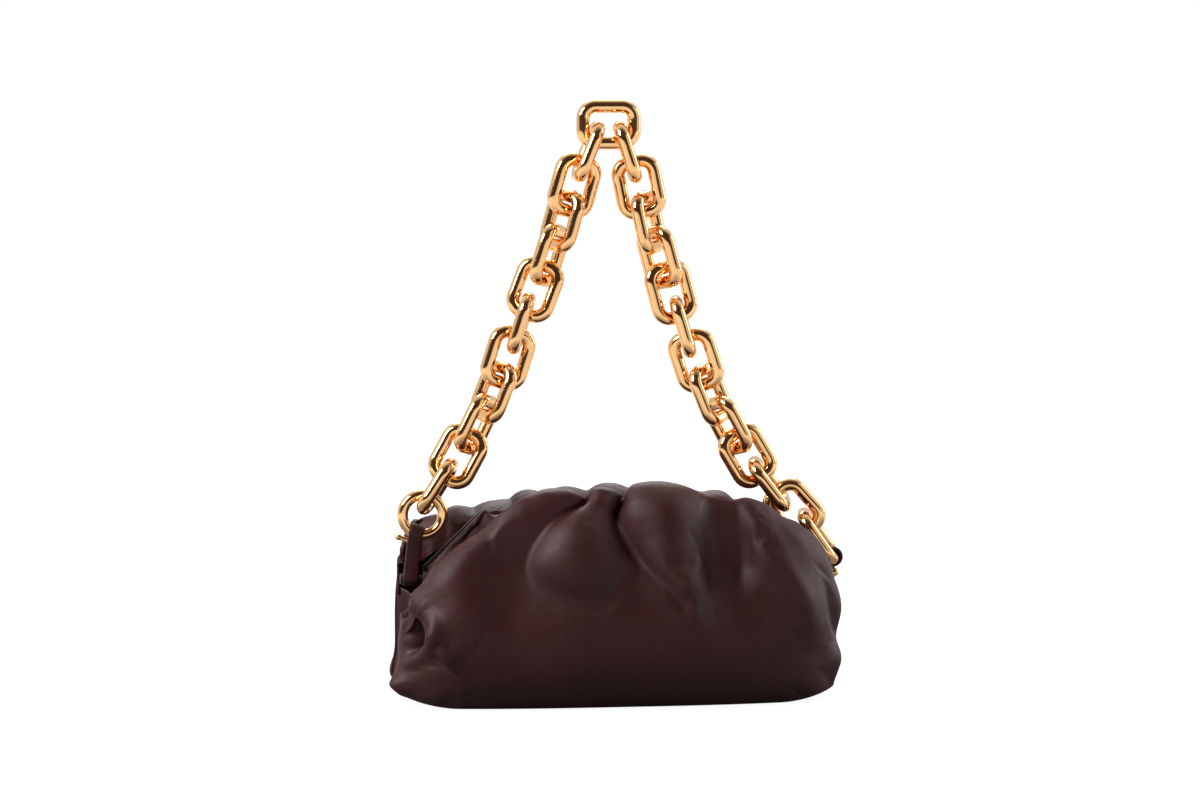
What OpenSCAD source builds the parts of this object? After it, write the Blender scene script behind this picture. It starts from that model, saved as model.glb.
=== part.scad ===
// Shoulder bag of soft gathered leather with a chain handle of cut-corner links.
// Origin: middle of the footprint, on the surface that the bag stands on.
// X runs along the bag, -Y is the front, Z is up. All sizes in millimetres.

/* [Leather body] */
// Length of the front and rear panels
body_w = 300; // [280:1:320]
// Height of the gathered crest at the middle
body_h = 153; // [145:1:165]
// Depth over the two bellies at the middle
body_d = 120; // [110:1:135]
// Depth of the flat base at the middle
base_d = 84; // [70:1:95]
// Thickness of the padded leather
leather_t = 2.4; // [1.6:0.1:3]
// How much lower the crest is at the two ends
shoulder_drop = 58; // [45:1:65]
// How much each belly draws in at the two ends
belly_draw = 24; // [15:1:30]
// Depth of the valleys between the gathers of the front
front_fold = 7; // [0:0.5:9]
// How much lower the crest of the rear is than the front one, at the middle
rear_low = 4; // [0:0.5:9]
// Depth of the valleys between the gathers of the rear
rear_fold = 4.5; // [0:0.5:8]
// How much each side of the base draws in at the two ends
base_draw = 14; // [8:1:20]
// Height of the boxed corners above the table
corner_lift = 9; // [4:1:14]
// Distance from the middle plane to the crest of each puff
crest_y = 34; // [30:1:40]
// Depth of the inward fold in the end gussets
gusset_fold = 4; // [1:0.5:8]

/* [Closing frame] */
// Height of the frame hinges above the table
hinge_z = 84; // [78:1:88]
// Height of the top edge of the jaw bars
jaw_top_z = 130; // [126:1:134]
// How far the straight part of the jaw bars ends inside each end of the leather
jaw_inset = 62; // [58:1:80]
// Height of the steel strip of the jaws
jaw_strip = 8; // [6:0.5:10]
// Thickness of the steel strip of the jaws
jaw_t = 3.2; // [2:0.1:3.6]
// Gap from the middle plane to the steel of each jaw
jaw_gap = 1.9; // [1.8:0.1:2.4]
// Diameter of the hinge pins
hinge_pin_d = 5; // [4:0.5:6]
// Diameter of the closing magnets
magnet_d = 6.4; // [4:0.1:7]
// Thickness of the closing magnets
magnet_t = 1.4; // [1:0.1:1.6]
// Thickness of the leather that covers the jaws
cover_t = 1.2; // [0.8:0.1:1.3]

/* [Chain] */
// Length of a link over its ends
link_len = 43.8; // [43:0.1:44.5]
// Width of a link over its sides
link_w = 33.8; // [33:0.1:35]
// Diameter of the link wire
link_wire = 9; // [8.6:0.1:9.2]
// Corner cut of a link, measured on the middle of its wire
link_cut = 6.3; // [5.5:0.1:6.8]
// Free gap between the wires of two neighbouring links
link_gap = 0.9; // [0.7:0.1:1.2]
// Sideways slip of each link in the next
link_slip = 1.6; // [0.8:0.1:1.8]
// Sideways place of the top link
top_link_x = -4; // [-10:1:10]
// Outer diameter of the ring
ring_d = 34.6; // [32:0.1:38]
// Diameter of the ring wire
ring_wire = 7.4; // [6:0.1:8]

/* [Leather tabs] */
// Width of the strap of each tab
tab_w = 10; // [8:0.5:12]
// Thickness of the doubled strap
tab_t = 4.4; // [3:0.1:5]
// Diameter of the screw that closes the left tab
tab_pin_d = 3.4; // [2.4:0.1:3.6]
// How far the foot of the ring lies inside the left end of the leather
ring_foot_in = 14; // [12:1:16]
// Height of the foot of the ring
ring_foot_z = 115; // [112:1:118]
// How far the lowest bar on the right lies outside the end of the leather
last_bar_out = 1; // [0:0.5:2]
// Height of the lowest bar on the right
last_bar_z = 95; // [94:0.5:97]

/* [Inside] */
// Thickness of the lining
lining_t = 0.8; // [0.5:0.1:1.2]
// Length of the base board
board_w = 196; // [150:1:200]
// Depth of the base board
board_d = 60; // [40:1:64]
// Thickness of the base board
board_t = 2; // [1.5:0.1:3]
// Length of the inner pocket
pocket_w = 140; // [100:1:144]
// Height of the inner pocket
pocket_h = 50; // [30:1:54]
// Depth of the inner pocket
pocket_d = 9; // [8.4:0.1:10]
// Thickness of the pocket cloth
pocket_t = 1; // [0.8:0.1:1.4]
// Length of the zip pull
pull_len = 20; // [14:1:26]

/* [Hidden] */
function left_name(i) = str("link_l", i < 10 ? "0" : "", i);
function right_name(i) = str("link_r", i < 10 ? "0" : "", i);

leather_colour = [0.24, 0.14, 0.14];
edge_colour = [0.17, 0.10, 0.10];
gold_colour = [0.90, 0.66, 0.36];
steel_colour = [0.66, 0.67, 0.69];
lining_colour = [0.42, 0.30, 0.28];
board_colour = [0.30, 0.22, 0.20];

fit = 0.3;
running = 0.08;
tiny = 0.01;
half_w = body_w / 2;
ring_foot = [ring_foot_in - half_w, ring_foot_z];
last_bar = [half_w + last_bar_out, last_bar_z];

// Shape of the leather body. Each value is a function of x, the place along the bag.
stations = 40;
steps = 2;
function along(x) = min(1, abs(x) / half_w);
function ease(s, from, power) = pow(max(0, (s - from) / (1 - from)), power);
function crest_z(x, side) = body_h - shoulder_drop * pow(along(x), 4)
    - (side > 0 ? rear_low * (1 - pow(along(x), 2)) : 0);
function belly_at(x) = body_d / 2 - belly_draw * pow(along(x), 3);
function base_at(x) = base_d / 2 - base_draw * pow(along(x), 3);
board_margin = 7;
lift_from = max(0.7, (board_w / 2 + board_margin) / half_w);
function lift_at(x) = corner_lift * ease(along(x), lift_from, 2);
function crest_at(x) = crest_y - 5 * pow(along(x), 2);
// The lips lie beside the covered jaws, and spread and drop towards the ends for the chain.
lip_y = jaw_gap + jaw_t + cover_t + fit * 2.4;
lip_z = jaw_top_z - jaw_strip;
lip_spread = 11;
lip_drop = 40;
function lip_at(x) = lip_y + lip_spread * ease(along(x), 0.5, 0.8);
function lip_z_at(x) = lip_z - lip_drop * ease(along(x), 0.5, 1.3);

// Gathers. The leather sinks in a valley at each of these places, in parts of the half width,
// by a share of the full depth at each control point from the base seam to the lip.
front_valleys = [[-0.31, 0.8], [-0.02, 1], [0.44, 0.9]];
rear_valleys = [[-0.47, 0.9], [-0.1, 1], [0.27, 0.9], [0.6, 0.7]];
valley_half_w = 10;
sink_share = [0, 0, 0, 0, 0.3, 0.85, 1, 0.9, 0.5, 0.15, 0];
function sink_at(x, side) = side < 0
    ? front_fold * sum_valleys(x, front_valleys)
    : rear_fold * sum_valleys(x, rear_valleys);
function sum_valleys(x, valleys) = max([
    for (v = valleys) v[1] * exp(-pow((x - v[0] * half_w) / valley_half_w, 2))
]);

// Control points [distance from the middle plane, height] of the leather at x, front (side -1) or rear (1).
function controls(x, side) = sunk(plain_controls(x, side), sink_at(x, side));
function sunk(p, depth) = [
    for (i = [0:len(p) - 1]) p[i] - depth * sink_share[i] * outward(p, i)
];
function plain_controls(x, side) = let (
    zc = crest_z(x, side), b = belly_at(x), f = base_at(x), u = lift_at(x),
    c = crest_at(x), l = lip_at(x), lz = lip_z_at(x)
) [
    [f, u],
    [f + 0.6 * (b - f), u + 4],
    [0.97 * b, u + 20],
    [b, 0.42 * zc],
    [0.9 * b, 0.72 * zc],
    [c + 0.6 * (b - c), 0.88 * zc],
    [c + 0.22 * (b - c), 0.975 * zc],
    [0.9 * c + 0.1 * l, zc],
    [0.55 * c + 0.45 * l, zc - 0.12 * (zc - lz)],
    [0.12 * c + 0.88 * l, lz + 0.45 * (zc - lz)],
    [l, lz]
];

// Smooth curve through a list of points.
function mid_point(a, b, c, d, t) =
    0.5 * (2 * b + (c - a) * t + (2 * a - 5 * b + 4 * c - d) * t * t + (3 * b - a - 3 * c + d) * t * t * t);
function curve(p) = let (n = len(p)) concat(
    [
        for (i = [0:n - 2])
        let (a = p[max(0, i - 1)], b = p[i], c = p[i + 1], d = p[min(n - 1, i + 2)])
        for (k = [0:steps - 1]) mid_point(a, b, c, d, k / steps)
    ],
    [p[n - 1]]
);
function outward(p, i) = let (
    a = p[max(0, i - 1)], b = p[min(len(p) - 1, i + 1)], d = b - a
) [d[1], -d[0]] / norm(d);
function inset(p, depth) = [for (i = [0:len(p) - 1]) p[i] - depth * outward(p, i)];

// Closed solid through rings of points. Each ring is an outer row and the inner row reversed.
module skin(rings) {
    m = len(rings);
    n = len(rings[0]);
    h = n / 2;
    polyhedron(
        points = [for (r = rings) each r],
        faces = concat(
            [
                for (j = [0:m - 2]) for (i = [0:n - 1])
                let (a = j * n + i, b = j * n + (i + 1) % n, c = a + n, d = b + n)
                each i < h ? [[a, d, b], [a, c, d]] : [[a, c, b], [b, c, d]]
            ],
            [
                for (i = [0:h - 2])
                let (a = i, b = i + 1, c = n - 2 - i, d = n - 1 - i)
                each [[a, b, c], [a, c, d]]
            ],
            [
                for (i = [0:h - 2])
                let (s = (m - 1) * n, a = s + i, b = s + i + 1, c = s + n - 2 - i, d = s + n - 1 - i)
                each [[a, c, b], [a, d, c]]
            ]
        ),
        convexity = 6
    );
}

// Row of points at x, a given depth below the surface. Between two stations the surface is straight.
station_step = body_w / stations;
function station_row(j, depth, side) = inset(curve(controls(-half_w + j * station_step, side)), depth);
function row_at(x, depth, side) = let (
    u = (x + half_w) / station_step,
    j = min(stations - 1, max(0, floor(u))),
    t = u - j
) (1 - t) * station_row(j, depth, side) + t * station_row(j + 1, depth, side);

// Sheet that follows the leather of one side, from one depth to another below its surface.
// Drawn as a rear half, so the front one is mirrored where it is used.
module wall_sheet(from, to, end_gap, side) {
    reach = half_w - end_gap;
    inner = [for (j = [1:stations - 1]) -half_w + j * station_step];
    skin([
        for (x = concat([-reach], [for (x = inner) if (abs(x) < reach - 1) x], [reach]))
        let (out = row_at(x, from, side), in = row_at(x, to, side), n = len(out))
        concat(
            [for (i = [0:n - 1]) [x, out[i][0], out[i][1]]],
            [for (i = [0:n - 1]) [x, in[n - 1 - i][0], in[n - 1 - i][1]]]
        )
    ]);
}

module rear_panel() {
    color(leather_colour) wall_sheet(0, leather_t, 0, 1);
}

module front_panel() {
    color(leather_colour) mirror([0, 1, 0]) wall_sheet(0, leather_t, 0, -1);
}

lining_out = leather_t + 2 * fit;
lining_in = lining_out + lining_t;
lining_end = leather_t + gusset_fold + 2 * fit + lining_t;

module lining_rear() {
    color(lining_colour) wall_sheet(lining_out, lining_in, lining_end, 1);
}

module lining_front() {
    color(lining_colour) mirror([0, 1, 0]) wall_sheet(lining_out, lining_in, lining_end, -1);
}

// The base lies between the foot seams of the two panels.
seam_gap = 4 * fit;
module base_panel() {
    color(leather_colour)
    skin([
        for (j = [0:stations])
        let (
            x = -half_w + body_w * j / stations,
            b = base_at(x) - seam_gap,
            z = lift_at(x)
        )
        [[x, -b, z], [x, b, z], [x, b, z + leather_t], [x, -b, z + leather_t]]
    ]);
}

// End gusset: a wall between the ends of the panels, folded inwards along its middle.
gusset_x = half_w - 2 * fit;
gusset_top = hinge_z - hinge_pin_d - 2;
gusset_foot = corner_lift + leather_t + 2 * fit;
gusset_rows = 8;
function end_half(z) = let (p = curve(plain_controls(half_w, 1)))
    lookup(z, [for (i = [0:6 * steps - 1]) [p[i][1], p[i][0]]]) - leather_t - 3 * fit;
module gusset(side) {
    color(leather_colour)
    mirror([side > 0 ? 0 : 1, 0, 0])
    skin([
        for (j = [0:gusset_rows])
        let (
            z = gusset_foot + (gusset_top - gusset_foot) * j / gusset_rows,
            w = end_half(z),
            k = gusset_fold * sin(180 * min(1, 0.25 + j / gusset_rows)),
            deep = [0, 0.35 * k, k, 0.35 * k, 0]
        )
        concat(
            [for (i = [0:4]) [gusset_x - deep[i], w * (i - 2) / 2, z]],
            [for (i = [0:4]) [gusset_x - deep[4 - i] - leather_t, w * (2 - i) / 2, z]]
        )
    ]);
}
module gusset_left() { gusset(-1); }
module gusset_right() { gusset(1); }

board_corner = 8;
module base_board() {
    color(board_colour)
    translate([0, 0, leather_t + fit])
    linear_extrude(board_t) {
        square([board_w - 2 * board_corner, board_d], center = true);
        square([board_w, board_d - 2 * board_corner], center = true);
        for (x = [-1, 1], y = [-1, 1])
            translate([x * (board_w / 2 - board_corner), y * (board_d / 2 - board_corner)])
                circle(board_corner, $fn = 48);
    }
}

// Closing frame: two arched steel jaws that turn on a pin at each end.
jaw_half_w = half_w - jaw_inset;
eye_w = 3;
eye_inset = 24;
front_eye_x = half_w - eye_inset;
rear_eye_x = front_eye_x + eye_w + fit;
eye_d = hinge_pin_d + 4;
jaw_mid = jaw_gap + jaw_t / 2;

// Jaw on the rear side. The strip stands jaw_gap behind the middle plane.
module jaw(eye_x) {
    difference() {
        union() {
            translate([0, jaw_gap + jaw_t, 0]) rotate([90, 0, 0])
                linear_extrude(jaw_t) jaw_strip_shape(eye_x);
            for (s = [-1, 1])
                translate([s * eye_x - eye_w / 2, 0, hinge_z]) rotate([0, 90, 0])
                    cylinder(h = eye_w, d = eye_d, $fn = 48);
        }
        for (s = [-1, 1])
            translate([s * eye_x - eye_w, 0, hinge_z]) rotate([0, 90, 0])
                cylinder(h = 2 * eye_w, d = hinge_pin_d + 2 * running, $fn = 48);
        magnet_places() magnet(magnet_t + tiny, magnet_d + fit / 2);
    }
}

module jaw_strip_shape(eye_x) {
    foot = eye_w / 2;
    neck_z = hinge_z + eye_d / 2 + 2 * fit;
    polygon([
        [-jaw_half_w - 3, jaw_top_z], [jaw_half_w + 3, jaw_top_z],
        [eye_x + foot, neck_z + 3], [eye_x + foot, hinge_z - 1], [eye_x - foot, hinge_z - 1],
        [eye_x - foot, neck_z], [eye_x - foot - 3, neck_z],
        [jaw_half_w - 2, jaw_top_z - jaw_strip], [-jaw_half_w + 2, jaw_top_z - jaw_strip],
        [-eye_x + foot + 3, neck_z], [-eye_x + foot, neck_z],
        [-eye_x + foot, hinge_z - 1], [-eye_x - foot, hinge_z - 1], [-eye_x - foot, neck_z + 3]
    ]);
}

magnet_step = jaw_half_w * 0.68;
magnet_z = jaw_top_z - jaw_strip / 2;
module magnet_places() {
    for (i = [-1:1]) translate([i * magnet_step, jaw_gap - tiny, magnet_z]) children();
}
module magnet(t, d) {
    rotate([-90, 0, 0]) cylinder(h = t, d = d, $fn = 40);
}

// Leather sleeve round the straight bar of a jaw.
cover_half_w = jaw_half_w - 4;
module jaw_cover() {
    outer_y = jaw_t + 2 * cover_t + fit;
    difference() {
        translate([-cover_half_w, jaw_gap - cover_t - fit / 2, jaw_top_z - jaw_strip - cover_t - fit])
            cube([2 * cover_half_w, outer_y, jaw_strip + 2 * cover_t + 2 * fit]);
        translate([-cover_half_w - 1, jaw_gap - fit / 2, jaw_top_z - jaw_strip - fit])
            cube([2 * cover_half_w + 2, jaw_t + fit, jaw_strip + 2 * fit]);
    }
}

module to_front() { mirror([0, 1, 0]) children(); }
module jaw_front() { color(steel_colour) to_front() jaw(front_eye_x); }
module jaw_rear() { color(steel_colour) jaw(rear_eye_x); }
module jaw_cover_front() { color(edge_colour) to_front() jaw_cover(); }
module jaw_cover_rear() { color(edge_colour) jaw_cover(); }
module magnets_front() { color(steel_colour) to_front() magnet_places() magnet(magnet_t, magnet_d); }
module magnets_rear() { color(steel_colour) magnet_places() magnet(magnet_t, magnet_d); }

// Each hinge pin carries both jaws, and the foot of a tab on its outer end.
pin_from = front_eye_x - eye_w / 2 - 2;
head_t = 1.5;
head_d = hinge_pin_d + 2;
foot_x = [rear_eye_x + eye_w / 2 + 4, rear_eye_x + eye_w / 2 + 4 + tab_w];
strap_x = last_bar[0] - 2.6;
pin_ends = [-foot_x[1] - fit - head_t, strap_x + tab_t / 2 + head_t];
module along_x(from, to, d) {
    translate([min(from, to), 0, hinge_z]) rotate([0, 90, 0]) cylinder(h = abs(to - from), d = d, $fn = 48);
}
module hinge_pins() {
    color(gold_colour) {
        along_x(-pin_from, pin_ends[0], hinge_pin_d);
        along_x(pin_ends[0], pin_ends[0] + head_t, head_d);
        along_x(pin_from, pin_ends[1], hinge_pin_d);
        for (s = [-1, 1]) along_x(s * (pin_from - head_t), s * pin_from, head_d);
    }
}

// Layout of the chain in the plane y = 0.
// A lean is the angle of a link from upright, top to the right.
// A twist is its turn about its own length, where 0 faces the front.
left_lean = [21, 15, 15, 17, 20, 17, 17, 21, 25, 28, 32];
left_twist = [90, 15, -55, 55, -15, 80, 12, -57, 54, -14, 76];
right_lean = [-26, -19, -19, -21, -20, -21, -22, -25, -30, -32, -38, -42, -34];
right_twist = [85, -12, 57, -54, 15, 82, -20, 50, -62, 8, 78, -6, 78];
ring_lean = 21.5;

bar_z = (link_len - link_wire) / 2;
bar_x = (link_w - link_wire) / 2;
ring_r = (ring_d - ring_wire) / 2;
seat = link_wire + link_gap;
ring_seat = (link_wire + ring_wire) / 2 + link_gap;

function up(a) = [sin(a), cos(a)];
function across(a) = [cos(a), -sin(a)];
function unit(v) = v / norm(v);
// From the foot of one link to the head of the next, which hangs in it.
function hook(a, b, side) = let (m = unit(up(a) + up(b)))
    seat * m + side * link_slip * [m[1], -m[0]];
// The first link hangs in a lower corner of the top link.
function first_head(side) = [
    side * (bar_z - seat),
    sqrt(2) * seat - (bar_x - link_cut / 2) - (seat - link_cut / 2)
];
// Heads of the links of a branch, seen from the middle of the top link.
function heads(leans, side) = [
    for (
        i = 0, p = first_head(side);
        i < len(leans);
        p = i + 1 < len(leans)
            ? p - 2 * bar_z * up(leans[i]) + hook(leans[i], leans[i + 1], side)
            : p,
        i = i + 1
    ) p
];
function last_foot(leans, side) = let (n = len(leans) - 1)
    heads(leans, side)[n] - 2 * bar_z * up(leans[n]);
function ring_foot_of(leans) = let (
    a = leans[len(leans) - 1],
    m = unit(up(a) + up(ring_lean))
) last_foot(leans, -1) + ring_seat * m - 2 * ring_r * up(ring_lean);
function more(leans, lean, bow) = let (n = len(leans) - 1)
    [for (i = [0:n]) leans[i] + lean + bow * (i / n - 0.5)];

// The left branch leans until its ring stands over the left tab. That gives the height of the top link.
function left_fit(lean, rounds) = rounds == 0 ? lean : let (
    e = ring_foot_of(more(left_lean, lean, 0))[0] + top_link_x - ring_foot[0],
    f = ring_foot_of(more(left_lean, lean + 0.1, 0))[0] + top_link_x - ring_foot[0]
) left_fit(lean - 0.1 * e / (f - e), rounds - 1);
left_leans = more(left_lean, left_fit(0, 5), 0);
top_link = [top_link_x, ring_foot[1] - ring_foot_of(left_leans)[1]];

// The right branch leans and bows until its last bar lies in the right tab.
function right_miss(v) = last_foot(more(right_lean, v[0], v[1]), 1) + top_link - last_bar;
function right_fit(v, rounds) = rounds == 0 ? v : let (
    e = right_miss(v),
    a = (right_miss(v + [0.1, 0]) - e) / 0.1,
    b = (right_miss(v + [0, 0.1]) - e) / 0.1,
    det = a[0] * b[1] - a[1] * b[0],
    step = [b[1] * e[0] - b[0] * e[1], a[0] * e[1] - a[1] * e[0]] / det
) right_fit(v - step, rounds - 1);
right_bend = right_fit([0, 0], 9);
right_leans = more(right_lean, right_bend[0], right_bend[1]);

left_heads = heads(left_leans, -1);
right_heads = heads(right_leans, 1);
ring_mid = ring_foot + ring_r * up(ring_lean);

// One link: round wire bent to a rectangle with cut corners, standing upright and facing the front.
// Each straight run reaches a little way into the bends at its ends, which are a hair thicker.
bend_r = link_wire / 2 + 2 * fit;
bend_trim = bend_r * tan(22.5);
bend_grow = 0.04;
run_in = 0.3;
module link() {
    x = bar_x;
    z = bar_z;
    c = link_cut;
    corners = [
        [x, c - z], [x, z - c], [x - c, z], [c - x, z],
        [-x, z - c], [-x, c - z], [c - x, -z], [x - c, -z]
    ];
    rotate([90, 0, 0])
    for (i = [0:7]) {
        run = norm(corners[(i + 1) % 8] - corners[i]) - 2 * bend_trim;
        translate(corners[i]) rotate([0, 0, 45 * i]) translate([0, bend_trim, 0]) {
            translate([0, -run_in, 0]) rotate([-90, 0, 0])
                cylinder(h = run + 2 * run_in, d = link_wire, $fn = 32);
            translate([-bend_r, run, 0]) rotate_extrude(angle = 45, $fn = 64)
                translate([bend_r, 0]) circle(d = link_wire + bend_grow, $fn = 32);
        }
    }
}
module place_link(head, lean, twist) {
    mid = top_link + head - bar_z * up(lean);
    translate([mid[0], 0, mid[1]]) rotate([0, lean, 0]) rotate([0, 0, twist]) children();
}
module link_left(i) {
    color(gold_colour) place_link(left_heads[i - 1], left_leans[i - 1], left_twist[i - 1]) link();
}
module link_right(i) {
    color(gold_colour) place_link(right_heads[i - 1], right_leans[i - 1], right_twist[i - 1]) link();
}
module link_top() {
    color(gold_colour) translate([top_link[0], 0, top_link[1]]) rotate([0, 90, 0]) link();
}

module ring_solid(extra) {
    translate([ring_mid[0], 0, ring_mid[1]]) rotate([90, 0, 0])
        rotate_extrude($fn = 72) translate([ring_r, 0]) circle(d = ring_wire + 2 * extra, $fn = 32);
}
module ring_left() { color(gold_colour) ring_solid(0); }

// Left tab: a strap round the foot of the ring, with its own foot round the hinge pin.
wrap = 2;
foot_mid = -(foot_x[0] + foot_x[1]) / 2;
screw_drop = (ring_wire + tab_pin_d) / 2 + 3 * fit;
module at_ring_foot() {
    translate([ring_foot[0], 0, ring_foot[1]]) rotate([0, ring_lean, 0]) children();
}
module across_tab(len, d) {
    translate([-len / 2, 0, 0]) rotate([0, 90, 0]) cylinder(h = len, d = d, $fn = 40);
}
module tab_left() {
    run = ring_foot - [foot_mid, hinge_z];
    color(leather_colour)
    difference() {
        union() {
            at_ring_foot() across_tab(tab_w, ring_wire + 2 * fit + 2 * wrap);
            translate([foot_mid, 0, hinge_z]) {
                across_tab(tab_w, hinge_pin_d + 2 * fit + 2 * wrap);
                rotate([0, atan2(run[0], run[1]), 0]) translate([-tab_w / 2, -tab_t / 2, 0])
                    cube([tab_w, tab_t, norm(run)]);
            }
        }
        ring_solid(fit);
        along_x(-pin_from, pin_ends[0], hinge_pin_d + 2 * fit);
        along_x(pin_ends[0] - head_t, pin_ends[0] + head_t + fit, head_d + 2 * fit);
        at_ring_foot() translate([0, 0, -screw_drop]) across_tab(3 * tab_w, tab_pin_d + fit);
    }
}

// Screw across the left strap, close under the loop that it shuts. Its ball head stands out at the left.
module tab_screw_left() {
    len = tab_w + 6;
    color(gold_colour)
    at_ring_foot() translate([-2, 0, -screw_drop]) {
        across_tab(len, tab_pin_d);
        translate([-len / 2, 0, 0]) sphere(d = tab_pin_d + 1, $fn = 40);
    }
}

// Right tab: a strap rolled round the straight part of the last bar, with the hinge pin through its foot.
last_lean = right_leans[len(right_leans) - 1];
last_twist = right_twist[len(right_twist) - 1];
roll_w = 2 * (bar_x - link_cut - bend_trim);
module along_last_bar(len, d) {
    translate([last_bar[0], 0, last_bar[1]]) rotate([0, last_lean, 0]) rotate([0, 0, last_twist])
        across_tab(len, d);
}
module tab_right() {
    color(leather_colour)
    difference() {
        union() {
            along_last_bar(roll_w, link_wire + 2 * fit + 2 * wrap);
            translate([strap_x - tab_t / 2, -roll_w / 2, hinge_z]) cube([tab_t, roll_w, last_bar[1] - hinge_z]);
            along_x(strap_x - tab_t / 2, strap_x + tab_t / 2, roll_w);
        }
        along_last_bar(3 * roll_w, link_wire + 2 * fit);
        along_x(pin_from, pin_ends[1] + 1, hinge_pin_d + 2 * fit);
    }
}

// Domed stud on the outer end of the right hinge pin. It holds the strap on the pin.
stud_d = 7;
module tab_stud_right() {
    from = strap_x + tab_t / 2 + fit / 2;
    color(gold_colour)
    difference() {
        union() {
            along_x(from, from + 2, stud_d);
            translate([from + 2, 0, hinge_z]) scale([0.5, 0.5, 0.5]) sphere(d = 2 * stud_d - 3, $fn = 48);
        }
        along_x(from - 1, pin_ends[1] + fit / 2, hinge_pin_d + fit);
    }
}

// Inner pocket on the rear wall, with a zip along its mouth.
pocket_top = 86;
wall_rows = 7 * steps;
function wall_y(x, z, depth) = let (row = row_at(x, depth, 1))
    lookup(z, [for (i = [0:wall_rows]) [row[i][1], row[i][0]]]);
pocket_rear = min([
    for (x = [-4:4], z = [pocket_top, pocket_top - pocket_h]) wall_y(x * pocket_w / 8, z, lining_in)
]) - fit;
pocket_mid = pocket_rear - pocket_d / 2;
module pocket_pouch() {
    color(lining_colour)
    difference() {
        translate([-pocket_w / 2, pocket_rear - pocket_d, pocket_top - pocket_h])
            cube([pocket_w, pocket_d, pocket_h]);
        translate([-pocket_w / 2 + pocket_t, pocket_rear - pocket_d + pocket_t, pocket_top - pocket_h + pocket_t])
            cube([pocket_w - 2 * pocket_t, pocket_d - 2 * pocket_t, pocket_h]);
    }
}

// The two tapes of the zip lie along the mouth, each with a row of teeth on its inner edge.
tape_t = 0.8;
tape_w = 2;
teeth_d = 1.2;
teeth_y = pocket_d / 2 - tape_w;
module zip_tapes() {
    color(edge_colour)
    translate([-pocket_w / 2, pocket_mid, pocket_top]) {
        for (s = [0, 1]) mirror([0, s, 0]) {
            translate([0, teeth_y, 0]) cube([pocket_w, tape_w, tape_t]);
            translate([2, teeth_y + teeth_d / 2, tape_t]) rotate([0, 90, 0])
                cylinder(h = pocket_w - 4, d = teeth_d, $fn = 24);
        }
        for (x = [0, pocket_w - 2]) translate([x, -pocket_d / 2, 0]) cube([2, pocket_d, tape_t]);
    }
}

// The slider rides over both rows of teeth and carries the bail of the pull.
slider_l = 9;
slider_w = pocket_d - 1;
slider_h = 3.2;
bail_d = 1.4;
slider_x = -pocket_w / 2 + slider_l / 2 + 4;
slider_z = pocket_top + tape_t + fit;
pull_root_d = bail_d + 2 * fit + 1.4;
bail_z = slider_z + slider_h + pull_root_d / 2 + fit;
module zip_slider() {
    color(gold_colour)
    difference() {
        union() {
            translate([slider_x - slider_l / 2, pocket_mid - slider_w / 2, slider_z])
                cube([slider_l, slider_w, slider_h]);
            for (s = [-1, 1])
                translate([slider_x - 1.2, pocket_mid + s * 2.4 - 0.5, slider_z + slider_h / 2])
                    cube([2.4, 1, bail_z - slider_z]);
            translate([slider_x, pocket_mid + 2.9, bail_z]) rotate([90, 0, 0])
                cylinder(h = 5.8, d = bail_d, $fn = 24);
        }
        for (s = [-1, 1])
            translate([slider_x - slider_l, pocket_mid + s * (teeth_y + teeth_d / 2), pocket_top + tape_t])
                rotate([0, 90, 0]) cylinder(h = 2 * slider_l, d = teeth_d + 2 * fit, $fn = 24);
    }
}

// Pull of the zip. Its eye hangs on the bail and it lies along the zip.
module zip_pull() {
    color(gold_colour)
    translate([slider_x, pocket_mid, bail_z])
    rotate([90, 0, 0])
    difference() {
        translate([0, 0, -1.6]) linear_extrude(3.2) {
            circle(d = pull_root_d, $fn = 32);
            translate([0, -0.6]) square([pull_len, 1.2]);
            translate([pull_len, 0]) circle(d = 2.6, $fn = 32);
        }
        translate([0, 0, -3]) cylinder(h = 6, d = bail_d + 2 * fit, $fn = 24);
    }
}

front_panel();
rear_panel();
base_panel();
gusset_left();
gusset_right();
lining_front();
lining_rear();
base_board();
jaw_front();
jaw_rear();
jaw_cover_front();
jaw_cover_rear();
magnets_front();
magnets_rear();
hinge_pins();
tab_left();
tab_right();
tab_screw_left();
tab_stud_right();
ring_left();
pocket_pouch();
zip_tapes();
zip_slider();
zip_pull();
for (i = [1:11]) link_left(i);
link_top();
for (i = [1:13]) link_right(i);
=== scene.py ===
import bpy
import math
import numpy as np
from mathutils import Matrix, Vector


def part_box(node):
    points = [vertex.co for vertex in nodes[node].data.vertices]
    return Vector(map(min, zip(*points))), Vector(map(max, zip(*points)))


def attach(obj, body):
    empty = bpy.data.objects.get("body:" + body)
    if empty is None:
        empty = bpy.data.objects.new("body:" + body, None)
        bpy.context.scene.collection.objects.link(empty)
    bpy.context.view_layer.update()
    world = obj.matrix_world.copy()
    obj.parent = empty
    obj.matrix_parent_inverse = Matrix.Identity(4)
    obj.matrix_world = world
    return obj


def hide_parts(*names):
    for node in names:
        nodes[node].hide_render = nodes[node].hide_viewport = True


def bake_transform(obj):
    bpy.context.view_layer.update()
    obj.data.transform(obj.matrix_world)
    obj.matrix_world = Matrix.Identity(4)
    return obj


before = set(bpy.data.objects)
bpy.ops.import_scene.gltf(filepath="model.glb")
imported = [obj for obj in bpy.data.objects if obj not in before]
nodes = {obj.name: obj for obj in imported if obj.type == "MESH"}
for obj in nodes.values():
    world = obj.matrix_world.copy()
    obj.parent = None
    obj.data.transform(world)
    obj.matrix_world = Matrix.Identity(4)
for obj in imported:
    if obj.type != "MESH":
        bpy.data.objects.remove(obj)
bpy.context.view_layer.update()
MM = 0.001


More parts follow.
